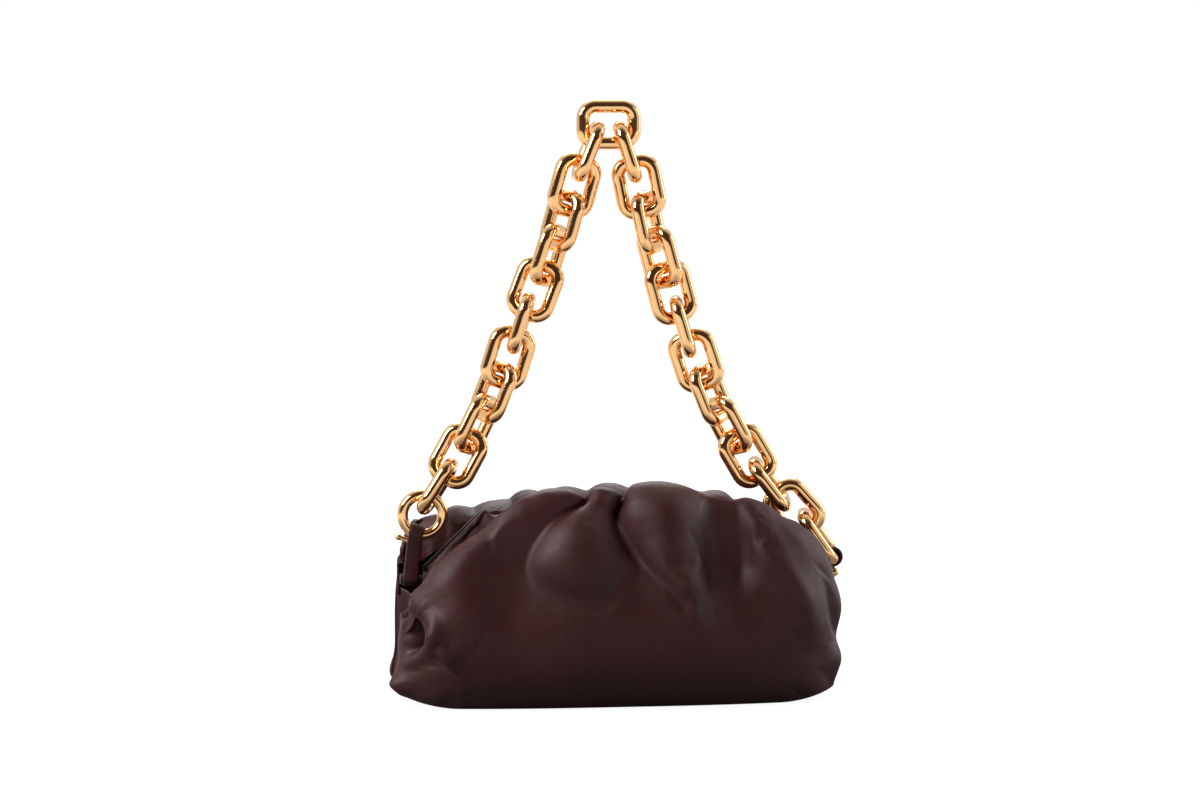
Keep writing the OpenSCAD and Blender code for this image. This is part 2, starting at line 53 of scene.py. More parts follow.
# ---------------------------------------------------------------- meshes
def add_mesh(name, verts, faces, mat=None, smooth=True):
    """Mesh object from points in metres."""
    me = bpy.data.meshes.new(name)
    me.from_pydata(verts, [], faces)
    if mat:
        me.materials.append(mat)
    if smooth:
        for p in me.polygons:
            p.use_smooth = True
    me.update()
    o = bpy.data.objects.new(name, me)
    bpy.context.scene.collection.objects.link(o)
    return o


def grid_quads(nu, nv):
    """Point numbers of a grid of nu by nv points, and its four-sided faces."""
    idx = np.arange(nu * nv).reshape(nu, nv)
    return idx, np.stack([idx[:-1, :-1], idx[1:, :-1], idx[1:, 1:], idx[:-1, 1:]], -1).reshape(-1, 4)


def ring_quads(n, m, closed=True):
    """Faces between n rings of m points each, and from the last ring to the first if closed."""
    i, j = np.meshgrid(np.arange(n if closed else n - 1), np.arange(m), indexing="ij")
    nxt, side = (i + 1) % n, (j + 1) % m
    return np.stack([i * m + j, i * m + side, nxt * m + side, nxt * m + j], -1).reshape(-1, 4)


# ---------------------------------------------------------------- materials
# Inputs and output of the colour mix node.
MIX_FACTOR, MIX_A, MIX_B, MIX_COLOUR = 0, 6, 7, 2
def new_material(name):
    m = bpy.data.materials.new(name)
    m.use_nodes = True
    nt = m.node_tree
    nt.nodes.clear()
    out = nt.nodes.new("ShaderNodeOutputMaterial")
    sh = nt.nodes.new("ShaderNodeBsdfPrincipled")
    nt.links.new(sh.outputs[0], out.inputs[0])
    return m, nt, sh


def coords(nt, scale=1.0):
    tc = nt.nodes.new("ShaderNodeTexCoord")
    mp = nt.nodes.new("ShaderNodeMapping")
    s = scale if hasattr(scale, "__len__") else (scale,) * 3
    mp.inputs["Scale"].default_value = s
    nt.links.new(tc.outputs["Object"], mp.inputs["Vector"])
    return mp.outputs[0]


def noise(nt, vec, scale, detail=3, rough=0.5):
    n = nt.nodes.new("ShaderNodeTexNoise")
    n.inputs["Scale"].default_value = scale
    n.inputs["Detail"].default_value = detail
    n.inputs["Roughness"].default_value = rough
    nt.links.new(vec, n.inputs["Vector"])
    return n.outputs[0]


def ramp(nt, value, stops):
    """Colour ramp through (position, grey or colour) stops."""
    r = nt.nodes.new("ShaderNodeValToRGB")
    e = r.color_ramp.elements
    while len(e) < len(stops):
        e.new(0.5)
    for el, (p, c) in zip(e, stops):
        el.position = p
        el.color = (*c, 1) if hasattr(c, "__len__") else (c, c, c, 1)
    nt.links.new(value, r.inputs[0])
    return r.outputs[0]


def maths(nt, op, a, b):
    n = nt.nodes.new("ShaderNodeMath")
    n.operation = op
    for i, v in enumerate((a, b)):
        if isinstance(v, (int, float)):
            n.inputs[i].default_value = v
        else:
            nt.links.new(v, n.inputs[i])
    return n.outputs[0]


def mix_colour(nt, fac, a, b):
    n = nt.nodes.new("ShaderNodeMix")
    n.data_type = "RGBA"
    for i, v in ((MIX_FACTOR, fac), (MIX_A, a), (MIX_B, b)):
        if isinstance(v, (int, float)):
            n.inputs[i].default_value = v
        elif isinstance(v, tuple):
            n.inputs[i].default_value = (*v, 1)
        else:
            nt.links.new(v, n.inputs[i])
    return n.outputs[MIX_COLOUR]


def bump(nt, sh, height, strength, distance, after=None):
    b = nt.nodes.new("ShaderNodeBump")
    b.inputs["Strength"].default_value = strength
    b.inputs["Distance"].default_value = distance
    nt.links.new(height, b.inputs["Height"])
    if after is not None:
        nt.links.new(after, b.inputs["Normal"])
    nt.links.new(b.outputs[0], sh.inputs["Normal"])
    return b.outputs[0]


# Leather: cells and pores of its grain per metre, and how far noise moves the cells (m).
GRAIN_CELLS, GRAIN_PORES, GRAIN_WARP = 1150, 900, 0.0012


def leather_material(name, dark, light, grain=1.0):
    m, nt, sh = new_material(name)
    v = coords(nt)
    cloud = noise(nt, v, 14, 3, 0.55)
    mottle = noise(nt, v, 160, 3, 0.6)
    base = mix_colour(nt, ramp(nt, cloud, [(0.3, 0.0), (0.7, 1.0)]), dark, light)
    speck = tuple(c * 1.35 for c in light)
    base = mix_colour(nt, ramp(nt, mottle, [(0.35, 0.0), (0.75, 0.35)]), base, speck)
    nt.links.new(base, sh.inputs["Base Color"])
    sh.inputs["Specular IOR Level"].default_value = 0.38
    rough = ramp(nt, noise(nt, v, 60, 3, 0.6), [(0.3, 0.40), (0.7, 0.50)])
    nt.links.new(rough, sh.inputs["Roughness"])
    # Grain: cells of a Voronoi pattern, moved a little by noise, and pores between them.
    vo = nt.nodes.new("ShaderNodeTexVoronoi")
    vo.feature = "DISTANCE_TO_EDGE"
    vo.inputs["Scale"].default_value = GRAIN_CELLS
    warp = nt.nodes.new("ShaderNodeVectorMath")
    warp.operation = "ADD"
    wn = nt.nodes.new("ShaderNodeTexNoise")
    wn.inputs["Scale"].default_value = 420
    sc = nt.nodes.new("ShaderNodeVectorMath")
    sc.operation = "SCALE"
    sc.inputs["Scale"].default_value = GRAIN_WARP
    nt.links.new(v, wn.inputs["Vector"])
    nt.links.new(wn.outputs["Color"], sc.inputs[0])
    nt.links.new(v, warp.inputs[0])
    nt.links.new(sc.outputs[0], warp.inputs[1])
    nt.links.new(warp.outputs[0], vo.inputs["Vector"])
    cells = ramp(nt, vo.outputs["Distance"], [(0.0, 0.0), (0.12, 1.0)])
    pores = noise(nt, v, GRAIN_PORES, 2, 0.5)
    h = maths(nt, "ADD", maths(nt, "MULTIPLY", cells, 0.6), maths(nt, "MULTIPLY", pores, 0.5))
    n1 = bump(nt, sh, h, 0.28 * grain, 0.00022)
    # Slow unevenness of the hide under the grain.
    bump(nt, sh, noise(nt, v, 95, 4, 0.55), 0.18, 0.0012, n1)
    return m


def gold_material(name, tint=(0.92, 0.55, 0.25)):
    m, nt, sh = new_material(name)
    v = coords(nt)
    sh.inputs["Metallic"].default_value = 1.0
    pale = (tint[0] * 1.03, tint[1] * 1.06, tint[2] * 1.10)
    c = mix_colour(nt, ramp(nt, noise(nt, v, 22, 3, 0.5), [(0.3, 0.0), (0.7, 1.0)]), tint, pale)
    nt.links.new(c, sh.inputs["Base Color"])
    # Fine polishing marks and smears in the gloss.
    fine = noise(nt, coords(nt, (600, 600, 160)), 5, 4, 0.6)
    smear = noise(nt, v, 75, 4, 0.6)
    marks = ramp(nt, fine, [(0.35, 0.045), (0.75, 0.085)])
    nt.links.new(maths(nt, "ADD", marks, maths(nt, "MULTIPLY", smear, 0.05)), sh.inputs["Roughness"])
    bump(nt, sh, noise(nt, v, 55, 2, 0.5), 0.05, 0.0006)
    return m


def steel_material(name):
    m, nt, sh = new_material(name)
    sh.inputs["Metallic"].default_value = 1.0
    v = coords(nt, (18, 700, 700))
    n = noise(nt, v, 4, 4, 0.6)
    nt.links.new(ramp(nt, n, [(0.3, (0.42, 0.42, 0.43)), (0.7, (0.60, 0.60, 0.61))]), sh.inputs["Base Color"])
    nt.links.new(ramp(nt, n, [(0.3, 0.28), (0.7, 0.42)]), sh.inputs["Roughness"])
    bump(nt, sh, n, 0.12, 0.0002)
    return m


# Bands of the wave node within one unit of its scale.
WAVE_BANDS = 3.2


def cloth_material(name, dark, light, pitch=0.0007, rough=0.85):
    """Plain weave, with the threads this pitch (m) apart."""
    m, nt, sh = new_material(name)
    v = coords(nt)

    def wave(direction):
        w = nt.nodes.new("ShaderNodeTexWave")
        w.wave_type = "BANDS"
        w.bands_direction = direction
        w.inputs["Scale"].default_value = 1.0 / pitch / WAVE_BANDS
        w.inputs["Distortion"].default_value = 0.4
        w.inputs["Detail"].default_value = 1
        nt.links.new(v, w.inputs["Vector"])
        return w.outputs["Fac"]

    a, b, c = wave("X"), wave("Z"), wave("Y")
    weave = maths(nt, "MULTIPLY", maths(nt, "ADD", a, c), b)
    cloud = noise(nt, v, 45, 3, 0.6)
    col = mix_colour(nt, ramp(nt, cloud, [(0.3, 0.0), (0.7, 1.0)]), dark, light)
    col = mix_colour(nt, maths(nt, "MULTIPLY", weave, 0.3), col, tuple(x * 1.5 for x in light))
    nt.links.new(col, sh.inputs["Base Color"])
    sh.inputs["Roughness"].default_value = rough
    sh.inputs["Sheen Weight"].default_value = 0.25
    bump(nt, sh, weave, 0.35, 0.0003)
    return m


LEATHER = leather_material("leather", (0.038, 0.0080, 0.0088), (0.058, 0.0132, 0.0140))
LEATHER_EDGE = leather_material("leather_edge", (0.022, 0.010, 0.010), (0.034, 0.015, 0.015), 0.6)
GOLD = gold_material("gold")
STEEL = steel_material("steel")
# Dark lacquer of the frame, with a fine hammered surface that the weave's bump gives.
LACQUER = cloth_material("lacquer", (0.028, 0.010, 0.010), (0.040, 0.015, 0.015), 0.0012, 0.5)
LINING = cloth_material("lining", (0.060, 0.026, 0.025), (0.082, 0.038, 0.036))
TAPE = cloth_material("zip_tape", (0.040, 0.022, 0.020), (0.060, 0.034, 0.030), 0.0009)
BOARD = cloth_material("board", (0.07, 0.045, 0.04), (0.10, 0.065, 0.055), 0.0016, 0.9)


def dress(node, mat):
    o = nodes[node]
    o.data.materials.clear()
    o.data.materials.append(mat)


GOLDEN = ("ring_left", "tab_screw_left", "tab_stud_right", "zip_slider", "zip_pull")
for n in nodes:
    if n.startswith("link_") or n in GOLDEN:
        dress(n, GOLD)
    elif n.startswith("jaw_cover"):
        dress(n, LEATHER_EDGE)
    elif n.startswith("jaw") or n == "hinge_pins":
        dress(n, LACQUER)
    elif n.startswith("magnets"):
        dress(n, STEEL)
    elif n == "pocket_pouch":
        dress(n, LINING)
    elif n == "zip_tapes":
        dress(n, TAPE)
    elif n == "base_board":
        dress(n, BOARD)
    else:
        dress(n, LEATHER)


# ---------------------------------------------------------------- form of the leather
# The forms below are in mm. Meshes, blends, lamps and the camera are in metres.
HALF_W, BODY_D, BASE_D = 150.0, 120.0, 84.0
LEATHER_T, LINING_T, POUCH_T = 2.0, 0.7, 0.8
FLOOR_GAP = 0.4
# Arm of the frame: it falls by ARM_DROP over ARM_RUN outwards of its knee.
ARM_DROP, ARM_RUN = 38, 36


def ease(s, start, power):
    return np.maximum(0.0, (s - start) / (1 - start)) ** power


def table(x, pairs):
    xs, ys = zip(*pairs)
    return np.interp(x, xs, ys)


def smooth(a, n):
    for _ in range(n):
        a = np.concatenate([a[:1], (a[:-2] + 2 * a[1:-1] + a[2:]) / 4, a[-1:]])
    return a


# Height of the crest along each side, and of the lips that it falls to.
FRONT_CREST = [(-150, 62), (-143, 66), (-136, 76), (-129, 87), (-120, 97), (-107, 110.5), (-95, 121.5), (-80, 136),
               (-68, 145), (-54, 149), (-34, 149), (0, 151), (25, 151), (41, 149), (63, 146), (82, 143),
               (92, 140.5), (102, 136.5), (112, 131.5), (126, 122), (136, 111), (143, 100), (150, 88)]
REAR_CREST = [(-150, 92), (-147, 102), (-142, 113), (-137, 120.5), (-130, 125.5), (-112, 131), (-86, 136),
              (-64, 140.5), (-30, 144), (0, 145), (30, 145), (60, 142), (82, 138.5), (100, 133.5), (120, 124),
              (138, 109), (150, 92)]


def between(a, b, c, d, r):
    """Smooth curve from b (r = 0) to c (r = 1), with a before and d after them."""
    return 0.5 * (2 * b + (c - a) * r + (2 * a - 5 * b + 4 * c - d) * r * r + (3 * b - a - 3 * c + d) * r**3)


# Control index t of the profile's points: 0 at the base seam, 3 at the belly, then the crest and the lip.
CREST_T, LIP_T = 7, 10


def profile(x, side, samples):
    """Depth and height over the leather at each x, from the base seam to the lip, and t of each row."""
    s = np.minimum(1, np.abs(x) / HALF_W)
    zc = table(x, FRONT_CREST if side < 0 else REAR_CREST)
    zc = smooth(zc, 14)
    belly_z = np.where(zc < 100, 100, zc)
    b = BODY_D / 2 - 24 * s**3
    f = BASE_D / 2 - 14 * s**3
    u = 9 * ease(s, 0.7, 2)
    c = 34 - 5 * s**2
    l = 7.02 + 11 * ease(s, 0.5, 0.8)
    lz = 122 - 40 * ease(s, 0.5, 1.3)
    # Where the crest is lower than the frame's arm, the inner slope climbs to the arm.
    arm = np.clip(130 - (np.abs(x) - 91) * ARM_DROP / ARM_RUN, 92, 130) + 3.0
    low = np.clip((arm + 7 - zc) / 14, 0, 1)
    z8 = (zc - 0.12 * (zc - lz)) * (1 - low) + (0.4 * zc + 0.6 * arm) * low
    z9 = (lz + 0.45 * (zc - lz)) * (1 - low) + (arm + 2.5) * low
    pts = [(f, u), (f + 0.62 * (b - f), u + 4), (0.97 * b, u + 20), (b, 0.42 * belly_z),
           (0.93 * b, np.minimum(0.72 * belly_z, 0.88 * zc - 8)), (c + 0.66 * (b - c), 0.88 * zc),
           (c + 0.26 * (b - c), 0.975 * zc), (0.9 * c + 0.1 * l, zc),
           (0.55 * c + 0.45 * l, z8), (0.12 * c + 0.88 * l, z9), (l, lz)]
    P = np.array([[np.broadcast_to(p[0], x.shape), np.broadcast_to(p[1], x.shape)] for p in pts])
    n = len(pts)
    t = np.linspace(0, n - 1, samples)
    i = np.minimum(n - 2, t.astype(int))
    r = (t - i)[:, None, None]
    Q = between(P[np.maximum(0, i - 1)], P[i], P[i + 1], P[np.minimum(n - 1, i + 2)], r)
    return Q[:, 0].T, Q[:, 1].T, t


# Points of a panel's grid along the bag and up the leather, and the row at which normals are compared.
NU, NV = 241, 131
BELLY = NV // 3
# Pressure in the cloth simulation, and where the panels begin to turn round to the ends.
PRESS = 2.5
CORNER, TURN = 126.0, 0.12
# Lengths over which the folds fade out at the base seam and at the lip.
SEAM_FADE, LIP_FADE = 7.0, 9.0


def normals(P):
    du = np.gradient(P, axis=0)
    dv = np.gradient(P, axis=1)
    n = np.cross(du, dv)
    n /= np.linalg.norm(n, axis=-1, keepdims=True) + 1e-12
    return n


def facing(P, side):
    """Normals of a panel that point away from the bag's middle plane at the belly."""
    n = normals(P)
    return n if np.sum(n[:, BELLY, 1]) * side > 0 else -n


def sheet_base(side):
    """Base surface of a panel: (NU, NV, 3) points, with the ends turned round towards the gussets."""
    a = np.linspace(-1, 1, NU)
    straight = np.abs(a) <= 1 - TURN
    ang = np.clip((np.abs(a) - (1 - TURN)) / TURN, 0, 1) * math.pi / 2
    round_end = np.sign(a) * (CORNER + (HALF_W - 0.6 - CORNER) * np.sin(ang))
    x = np.where(straight, a / (1 - TURN) * CORNER, round_end)
    y, z, t = profile(x, side, NV)
    wrap = np.interp(t, [0, 1, 3, 5, 7, 8.5, 10], [0.42, 0.5, 0.62, 0.55, 0.45, 0.25, 0.12])
    y = y * (1 - wrap[None, :] * (1 - np.cos(ang))[:, None])
    P = np.stack([np.broadcast_to(x[:, None], y.shape), side * y, z], -1)
    # At the turned ends the inner slope lies back against the outer face, so that the end closes to a hem.
    back = np.interp(2 * CREST_T - t, t, np.arange(NV))
    low = np.floor(back).astype(int)
    part = (back - low)[None, :, None]
    folded = P[:, low] * (1 - part) + P[:, np.minimum(NV - 1, low + 1)] * part
    folded[:, :, 1] -= side * 3.2
    at_end = np.clip((np.abs(x) - (CORNER - 2)) / 18, 0, 1)[:, None]
    w = (at_end * np.clip((t - CREST_T) / 0.6, 0, 1)[None, :])[..., None]
    w = w * w * (3 - 2 * w)
    P = P * (1 - w) + folded * w
    # The upper corners draw back towards the hinges.
    outwards = np.clip((np.abs(x) - 128) / 21, 0, 1)[:, None] ** 2
    P[:, :, 0] -= np.sign(x)[:, None] * 3.5 * outwards * np.clip((t - 3.6) / 3, 0, 1)[None, :]
    return P


def spline(pts, per=6):
    p = np.array(pts, float)
    out = []
    for i in range(len(p) - 1):
        a, b, c, d = p[max(0, i - 1)], p[i], p[i + 1], p[min(len(p) - 1, i + 2)]
        out += [between(a, b, c, d, k / per) for k in range(per)]
    out.append(p[-1])
    return np.array(out)


class Folds:
    """Valleys, ridges and puffs on a panel, laid out in surface coordinates: place along the bag (U) and
    length up the leather (L). D is the height over the base surface, along its outward normals N, and
    shift is a movement within it."""

    def __init__(self, side):
        self.P = sheet_base(side)
        d = np.linalg.norm(np.diff(self.P[:, :, 1:], axis=1), axis=-1)
        self.L = np.concatenate([np.zeros((NU, 1)), np.cumsum(d, axis=1)], axis=1)
        self.X = self.P[:, :, 0]
        # Unrolled place along the bag: the turned ends count by their length.
        m = self.P[:, NV * 3 // 10, :2]
        u = np.concatenate([[0], np.cumsum(np.linalg.norm(np.diff(m, axis=0), axis=-1))])
        self.U = np.broadcast_to((u - u[NU // 2])[:, None], self.X.shape)
        self.N = facing(self.P, side)
        self.D = np.zeros_like(self.L)
        self.shift = np.zeros_like(self.P)

    def place(self, x, h):
        """Surface coordinates of a point. h is a height on the face, or the letter t and a control index."""
        i = int(np.argmin(np.abs(self.X[:, 0] - x)))
        top = int(NV * CREST_T / LIP_T)
        if isinstance(h, str):
            k = float(h[1:]) / LIP_T * (NV - 1)
            l = np.interp(k, np.arange(NV), self.L[i])
        else:
            zz = np.maximum.accumulate(self.P[i, :top + 1, 2])
            l = np.interp(h, zz, self.L[i, :top + 1])
        return self.U[i, 0], l

    def line(self, pts, depth, width, sharp=0.25, pull=0.0, skew=0.0):
        """A valley of this depth along the line (a ridge if negative). depth and width are one value a point.
        sharp rounds its bottom, pull draws the leather in from both sides, and skew makes its left side
        wider (positive) or its right side."""
        s = spline([(*self.place(*p), d, w) for p, d, w in zip(pts, depth, width)])
        a, b = s[:-1, :2], s[1:, :2]
        best = np.full(self.L.shape, 1e9)
        D = np.zeros_like(best)
        W = np.ones_like(best)
        DX = np.zeros_like(best)
        DL = np.zeros_like(best)
        S = np.zeros_like(best)
        for k in range(len(a)):
            ex, el = b[k] - a[k]
            ll = ex * ex + el * el + 1e-9
            r = np.clip(((self.U - a[k, 0]) * ex + (self.L - a[k, 1]) * el) / ll, 0, 1)
            dx, dl = self.U - (a[k, 0] + r * ex), self.L - (a[k, 1] + r * el)
            dist = dx * dx + dl * dl
            m = dist < best
            best = np.where(m, dist, best)
            D = np.where(m, s[k, 2] * (1 - r) + s[k + 1, 2] * r, D)
            W = np.where(m, s[k, 3] * (1 - r) + s[k + 1, 3] * r, W)
            DX, DL = np.where(m, dx, DX), np.where(m, dl, DL)
            S = np.where(m, (ex * dl - el * dx) / math.sqrt(ll), S)
        W = W * (1 + skew * np.tanh(S / (0.6 * W)))
        r = np.sqrt(best) / W
        v = np.exp(-(np.sqrt(r * r + sharp * sharp) - sharp) * 1.5)
        self.D -= D * v
        if pull:
            g = pull * D * r * np.exp(1 - r * 1.3) * 0.6
            norm = np.sqrt(best) + 1e-6
            i, j = np.gradient(self.P, axis=(0, 1))
            i /= np.linalg.norm(i, axis=-1, keepdims=True) + 1e-9
            j /= np.linalg.norm(j, axis=-1, keepdims=True) + 1e-9
            self.shift -= (i * (DX / norm)[..., None] + j * (DL / norm)[..., None]) * g[..., None]

    def puff(self, x, h, rx, rl, height, angle=0.0, power=2.0):
        """A swelling round a point, with these radii along the bag and up the leather, turned by the angle."""
        u, l = self.place(x, h)
        c, s = math.cos(math.radians(angle)), math.sin(math.radians(angle))
        a, b = self.U - u, self.L - l
        p, q = (a * c + b * s) / rx, (-a * s + b * c) / rl
        self.D += height * np.exp(-((p * p + q * q) ** (power / 2)))

    def result(self):
        """Displaced points. The displacement fades out at the seams and at the lip."""
        fade = np.clip(self.L / SEAM_FADE, 0, 1) ** 0.8
        fade = fade * np.clip((self.L[:, -1:] - self.L) / LIP_FADE, 0.12, 1)
        return self.P + (self.N * self.D[..., None] + self.shift) * fade[..., None]


def front_folds():
    f = Folds(-1)
    V = f.line
    # main pleat, from the crest down the middle and round to the right
    V([(6, "t9.6"), (5, "t8.2"), (4, "t7.2"), (1, 147), (-2, 139), (-1, 124), (6, 109), (14, 98), (24, 89), (34, 80)],
      [7, 10, 12, 14, 15.5, 15.5, 12, 7.5, 4, 1], [6, 6, 7, 10, 15, 20, 21, 18, 15, 13], 0.35, 0.35, -0.35)
    # nick at the left of the small crest bulge, and the crease that bounds the first puff
    V([(-24, "t9.6"), (-25, "t8.2"), (-25, "t7"), (-28, 146), (-38, 139), (-50, 129), (-61, 115), (-67, 101),
       (-65, 90), (-54, 79), (-34, 70), (-8, 66)],
      [6, 6, 6.5, 7.5, 8, 8.5, 9, 8, 6.5, 4.5, 3, 1], [6, 6, 7, 8, 10, 13, 15, 15, 16, 16, 16, 16], 0.35, 0.3, -0.3)
    # puffs
    f.puff(-24, 106, 31, 25, 11.0, 28, 2.6)
    f.puff(-14, 145, 9, 9, 3.5)
    f.puff(31, 120, 17, 36, 5.5, 3)
    f.puff(38, 80, 12, 30, 7.0, 14)
    f.puff(118, 88, 26, 42, 8, 24)
    f.puff(-113, 72, 22, 44, 7.0, 12)
    f.puff(0, 42, 90, 28, 3.0)
    # broad hollow between the second and the third puff, with its fold edge
    V([(60, "t9.5"), (59, "t8"), (60, "t7.1"), (62, 141), (65, 126), (68, 108), (68, 92), (62, 74)],
      [3, 4, 4, 7, 11, 12.5, 10, 2], [8, 10, 12, 16, 19, 20, 20, 18], 0.8, 0.1, 0.2)
    V([(80, "t9.5"), (80, "t8"), (80, "t7"), (81, 139), (83, 124), (86, 108), (84, 92), (76, 75)],
      [4, 4, 3, 3.5, 5, 6, 5, 1.5], [8, 8, 9, 11, 12, 12, 12, 12], 0.6, 0.15, 0.3)
    V([(86, 142), (92, 124), (97, 108), (95, 92), (86, 78)], [-2, -5.5, -6.5, -4, -1], [6, 8, 9, 9, 9], 0.6)
    # forked crease under the second puff
    V([(28, 90), (33, 77), (39, 64), (43, 52)], [1, 4.0, 3.6, 0.6], [9, 8, 9, 11], 0.5, 0.2)
    V([(52, 85), (43, 75), (37, 66)], [1, 2.5, 1], [7, 7, 7], 0.4, 0.2)
    V([(34, 112), (38, 98), (42, 84), (45, 68), (47, 54)], [-1, -2.5, -4.5, -4.5, -1], [8, 7, 6, 6, 8], 0.4)
    # valleys and ridge of the third puff
    V([(104, 128), (110, 113), (119, 98), (127, 80)], [2, 5, 5, 1], [9, 10, 10, 10], 0.6, 0.15)
    V([(94, 106), (108, 91), (122, 69), (133, 42)], [-2, -4.5, -4, -1.5], [8, 8, 8, 8], 0.5)
    V([(96, 84), (110, 70), (120, 48)], [0.5, 3, 0.5], [10, 11, 12], 0.5)
    V([(112, "t9.4"), (114, "t8"), (116, "t7"), (124, 116), (131, 102), (137, 90)],
      [5, 5, 3.5, 3, 3, 1], [6, 7, 8, 9, 9, 9], 0.5, 0.2)
    V([(140, 84), (142, 66), (144, 52), (147, 40)], [2, 5, 6, 3], [7, 6, 6, 6], 0.3, 0.3)
    f.puff(148, 62, 9, 18, 6)
    f.puff(148, 27, 9, 12, 6)
    # left shoulder: a crisp rim, and the gathers that run in behind it
    V([(-66, 143.5), (-80, 133), (-95, 119.5), (-107, 108), (-120, 95), (-129, 84.5), (-136, 73), (-141, 62)],
      [-1, -3, -4.5, -5, -5, -4.5, -4, -2.5], [6, 6, 5.5, 5, 5, 5, 5, 5], 0.25, 0.2, 0.3)
    V([(-62, "t7.6"), (-78, "t7.5"), (-95, "t7.5"), (-110, "t7.5"), (-124, "t7.6"), (-136, "t7.8")],
      [4, 7, 8, 8, 7, 4], [6, 6, 7, 7, 6, 6], 0.3, 0.2)
    for x0, x1, d in ((-74, -69, 3), (-88, -84, 4), (-99, -97, 3.5), (-109, -107, 4.5), (-119, -117, 4),
                      (-130, -128, 3.5)):
        V([(x0, "t9.6"), (x1, "t8.8"), (x1 + 3, "t8.0"), (x1 + 5, "t7.3")],
          [d, d, d * 0.7, 0.5], [4, 4, 5, 6], 0.35, 0.15)
    # shallow hollow on the left of the face, between the shoulder and the first puff
    V([(-72, 130), (-80, 114), (-84, 96), (-84, 76), (-80, 56)], [1.5, 3.5, 4, 3, 0.5], [12, 14, 16, 18, 18], 0.8)
    V([(-60, 58), (-70, 44), (-74, 30)], [0.5, 2.0, 0.5], [20, 22, 22], 0.9)
    # hollow in the lower left corner with its lip, and the crease that runs down from it
    V([(-141, 62), (-138, 54), (-139, 45), (-142, 38)], [9, 19, 19, 7], [6, 8, 8, 7], 0.45, 0.35)
    V([(-140, 70), (-130, 64), (-125, 55), (-127, 45), (-135, 37), (-145, 32)],
      [-3, -6.5, -6.5, -6, -5, -2], [5, 5, 5, 5, 5, 5], 0.35, 0.2)
    V([(-128, 41), (-120, 34), (-111, 24), (-104, 14)], [3, 5.5, 4.5, 1], [5, 6, 6, 6], 0.25, 0.3)
    V([(-124, 50), (-117, 38), (-108, 22)], [-3, -5.5, -2], [7, 6, 6], 0.3, 0.1)
    V([(-116, 60), (-110, 42), (-100, 26)], [0.5, 2.5, 0.5], [9, 9, 10], 0.4)
    f.puff(-148, 14, 9, 10, 9)
    return f


def rear_folds():
    f = Folds(1)
    V = f.line
    # Gathers: place at the crest, depth, skew, height at which the gather ends and its lean down to there.
    gathers = [(-118, 4.5, -0.2, 70, -8), (-95, 5, 0.2, 96, -6), (-70, 9, -0.2, 88, -9), (-46, 5.5, 0.3, 112, 4),
               (-15, 9.5, -0.3, 92, 7), (14, 5, 0.2, 108, 3), (40, 9, 0.2, 94, 9), (65, 5, -0.3, 110, 6),
               (90, 8, 0.2, 92, 9), (113, 5, 0.2, 70, 8)]
    for x, d, k, e, dx in gathers:
        high = 136 if abs(x) < 90 else 118
        V([(x * 0.96, "t9.7"), (x * 0.98, "t8.3"), (x, "t7.1"), (x + dx * 0.3, high),
           (x + dx * 0.7, (high + e) / 2), (x + dx, e)],
          [d * 0.5, d * 0.55, d * 0.55, d * 0.85, d * 0.65, d * 0.08], [6, 7, 9, 10, 13, 14], 0.35, 0.3, k)
    for x, h, rx, rl, a in ((-106, 110, 11, 26, 2), (-82, 118, 11, 28, 2.5), (-57, 120, 11, 28, 2),
                            (-30, 120, 13, 30, 2.5), (0, 124, 12, 26, 2), (27, 120, 10, 28, 2.5),
                            (52, 120, 12, 30, 2.2), (78, 118, 11, 26, 2.5), (102, 108, 11, 26, 2)):
        f.puff(x, h, rx, rl, a)
    V([(-140, 84), (-138, 66), (-136, 48), (-124, 34)], [2, 5, 6, 2], [7, 8, 8, 8], 0.35, 0.3)
    V([(136, 88), (140, 66), (138, 48), (126, 34)], [2, 5, 6, 2], [7, 8, 8, 8], 0.35, 0.3)
    f.puff(-148, 18, 8, 10, 5)
    f.puff(148, 18, 8, 10, 5)
    f.puff(0, 55, 95, 34, 2.5)
    return f


def shell_mesh(name, P, N, thick, mat, flip):
    """Closed thin shell: the outer rows, the same rows moved in by the thickness, and a rim between them.
    flip turns the faces of a grid that runs the other way round."""
    nu, nv = P.shape[:2]
    inner = P - N * thick
    verts = np.concatenate([P.reshape(-1, 3), inner.reshape(-1, 3)]) * MM
    idx, q = grid_quads(nu, nv)
    if flip:
        q = q[:, ::-1]
    off = nu * nv
    qi = q[:, ::-1] + off
    rim = np.concatenate([idx[:, 0], idx[-1, 1:], idx[::-1, -1][1:], idx[0, ::-1][1:-1]])
    nxt = np.roll(rim, -1)
    r = np.stack([rim, rim + off, nxt + off, nxt], -1)
    if flip:
        r = r[:, ::-1]
    return add_mesh(name, verts.tolist(), np.concatenate([q, qi, r]).tolist(), mat)


def relax(P, rounds):
    """Evens out a grid, apart from its edges."""
    for _ in range(rounds):
        q = P.copy()
        q[1:-1, 1:-1] = (P[:-2, 1:-1] + P[2:, 1:-1] + P[1:-1, :-2] + P[1:-1, 2:] + 4 * P[1:-1, 1:-1]) / 8
        P = q
    return P


def weight_group(o, name, weights):
    """Vertex group with these weights, in steps of a hundredth."""
    g = o.vertex_groups.new(name=name)
    w = np.round(weights.reshape(-1), 2)
    for value in np.unique(w):
        if value > 0:
            g.add(np.nonzero(w == value)[0].tolist(), float(value), "REPLACE")


# The cloth is simulated at this many times its size, where the solver is steady.
CLOTH_SCALE = 10.0


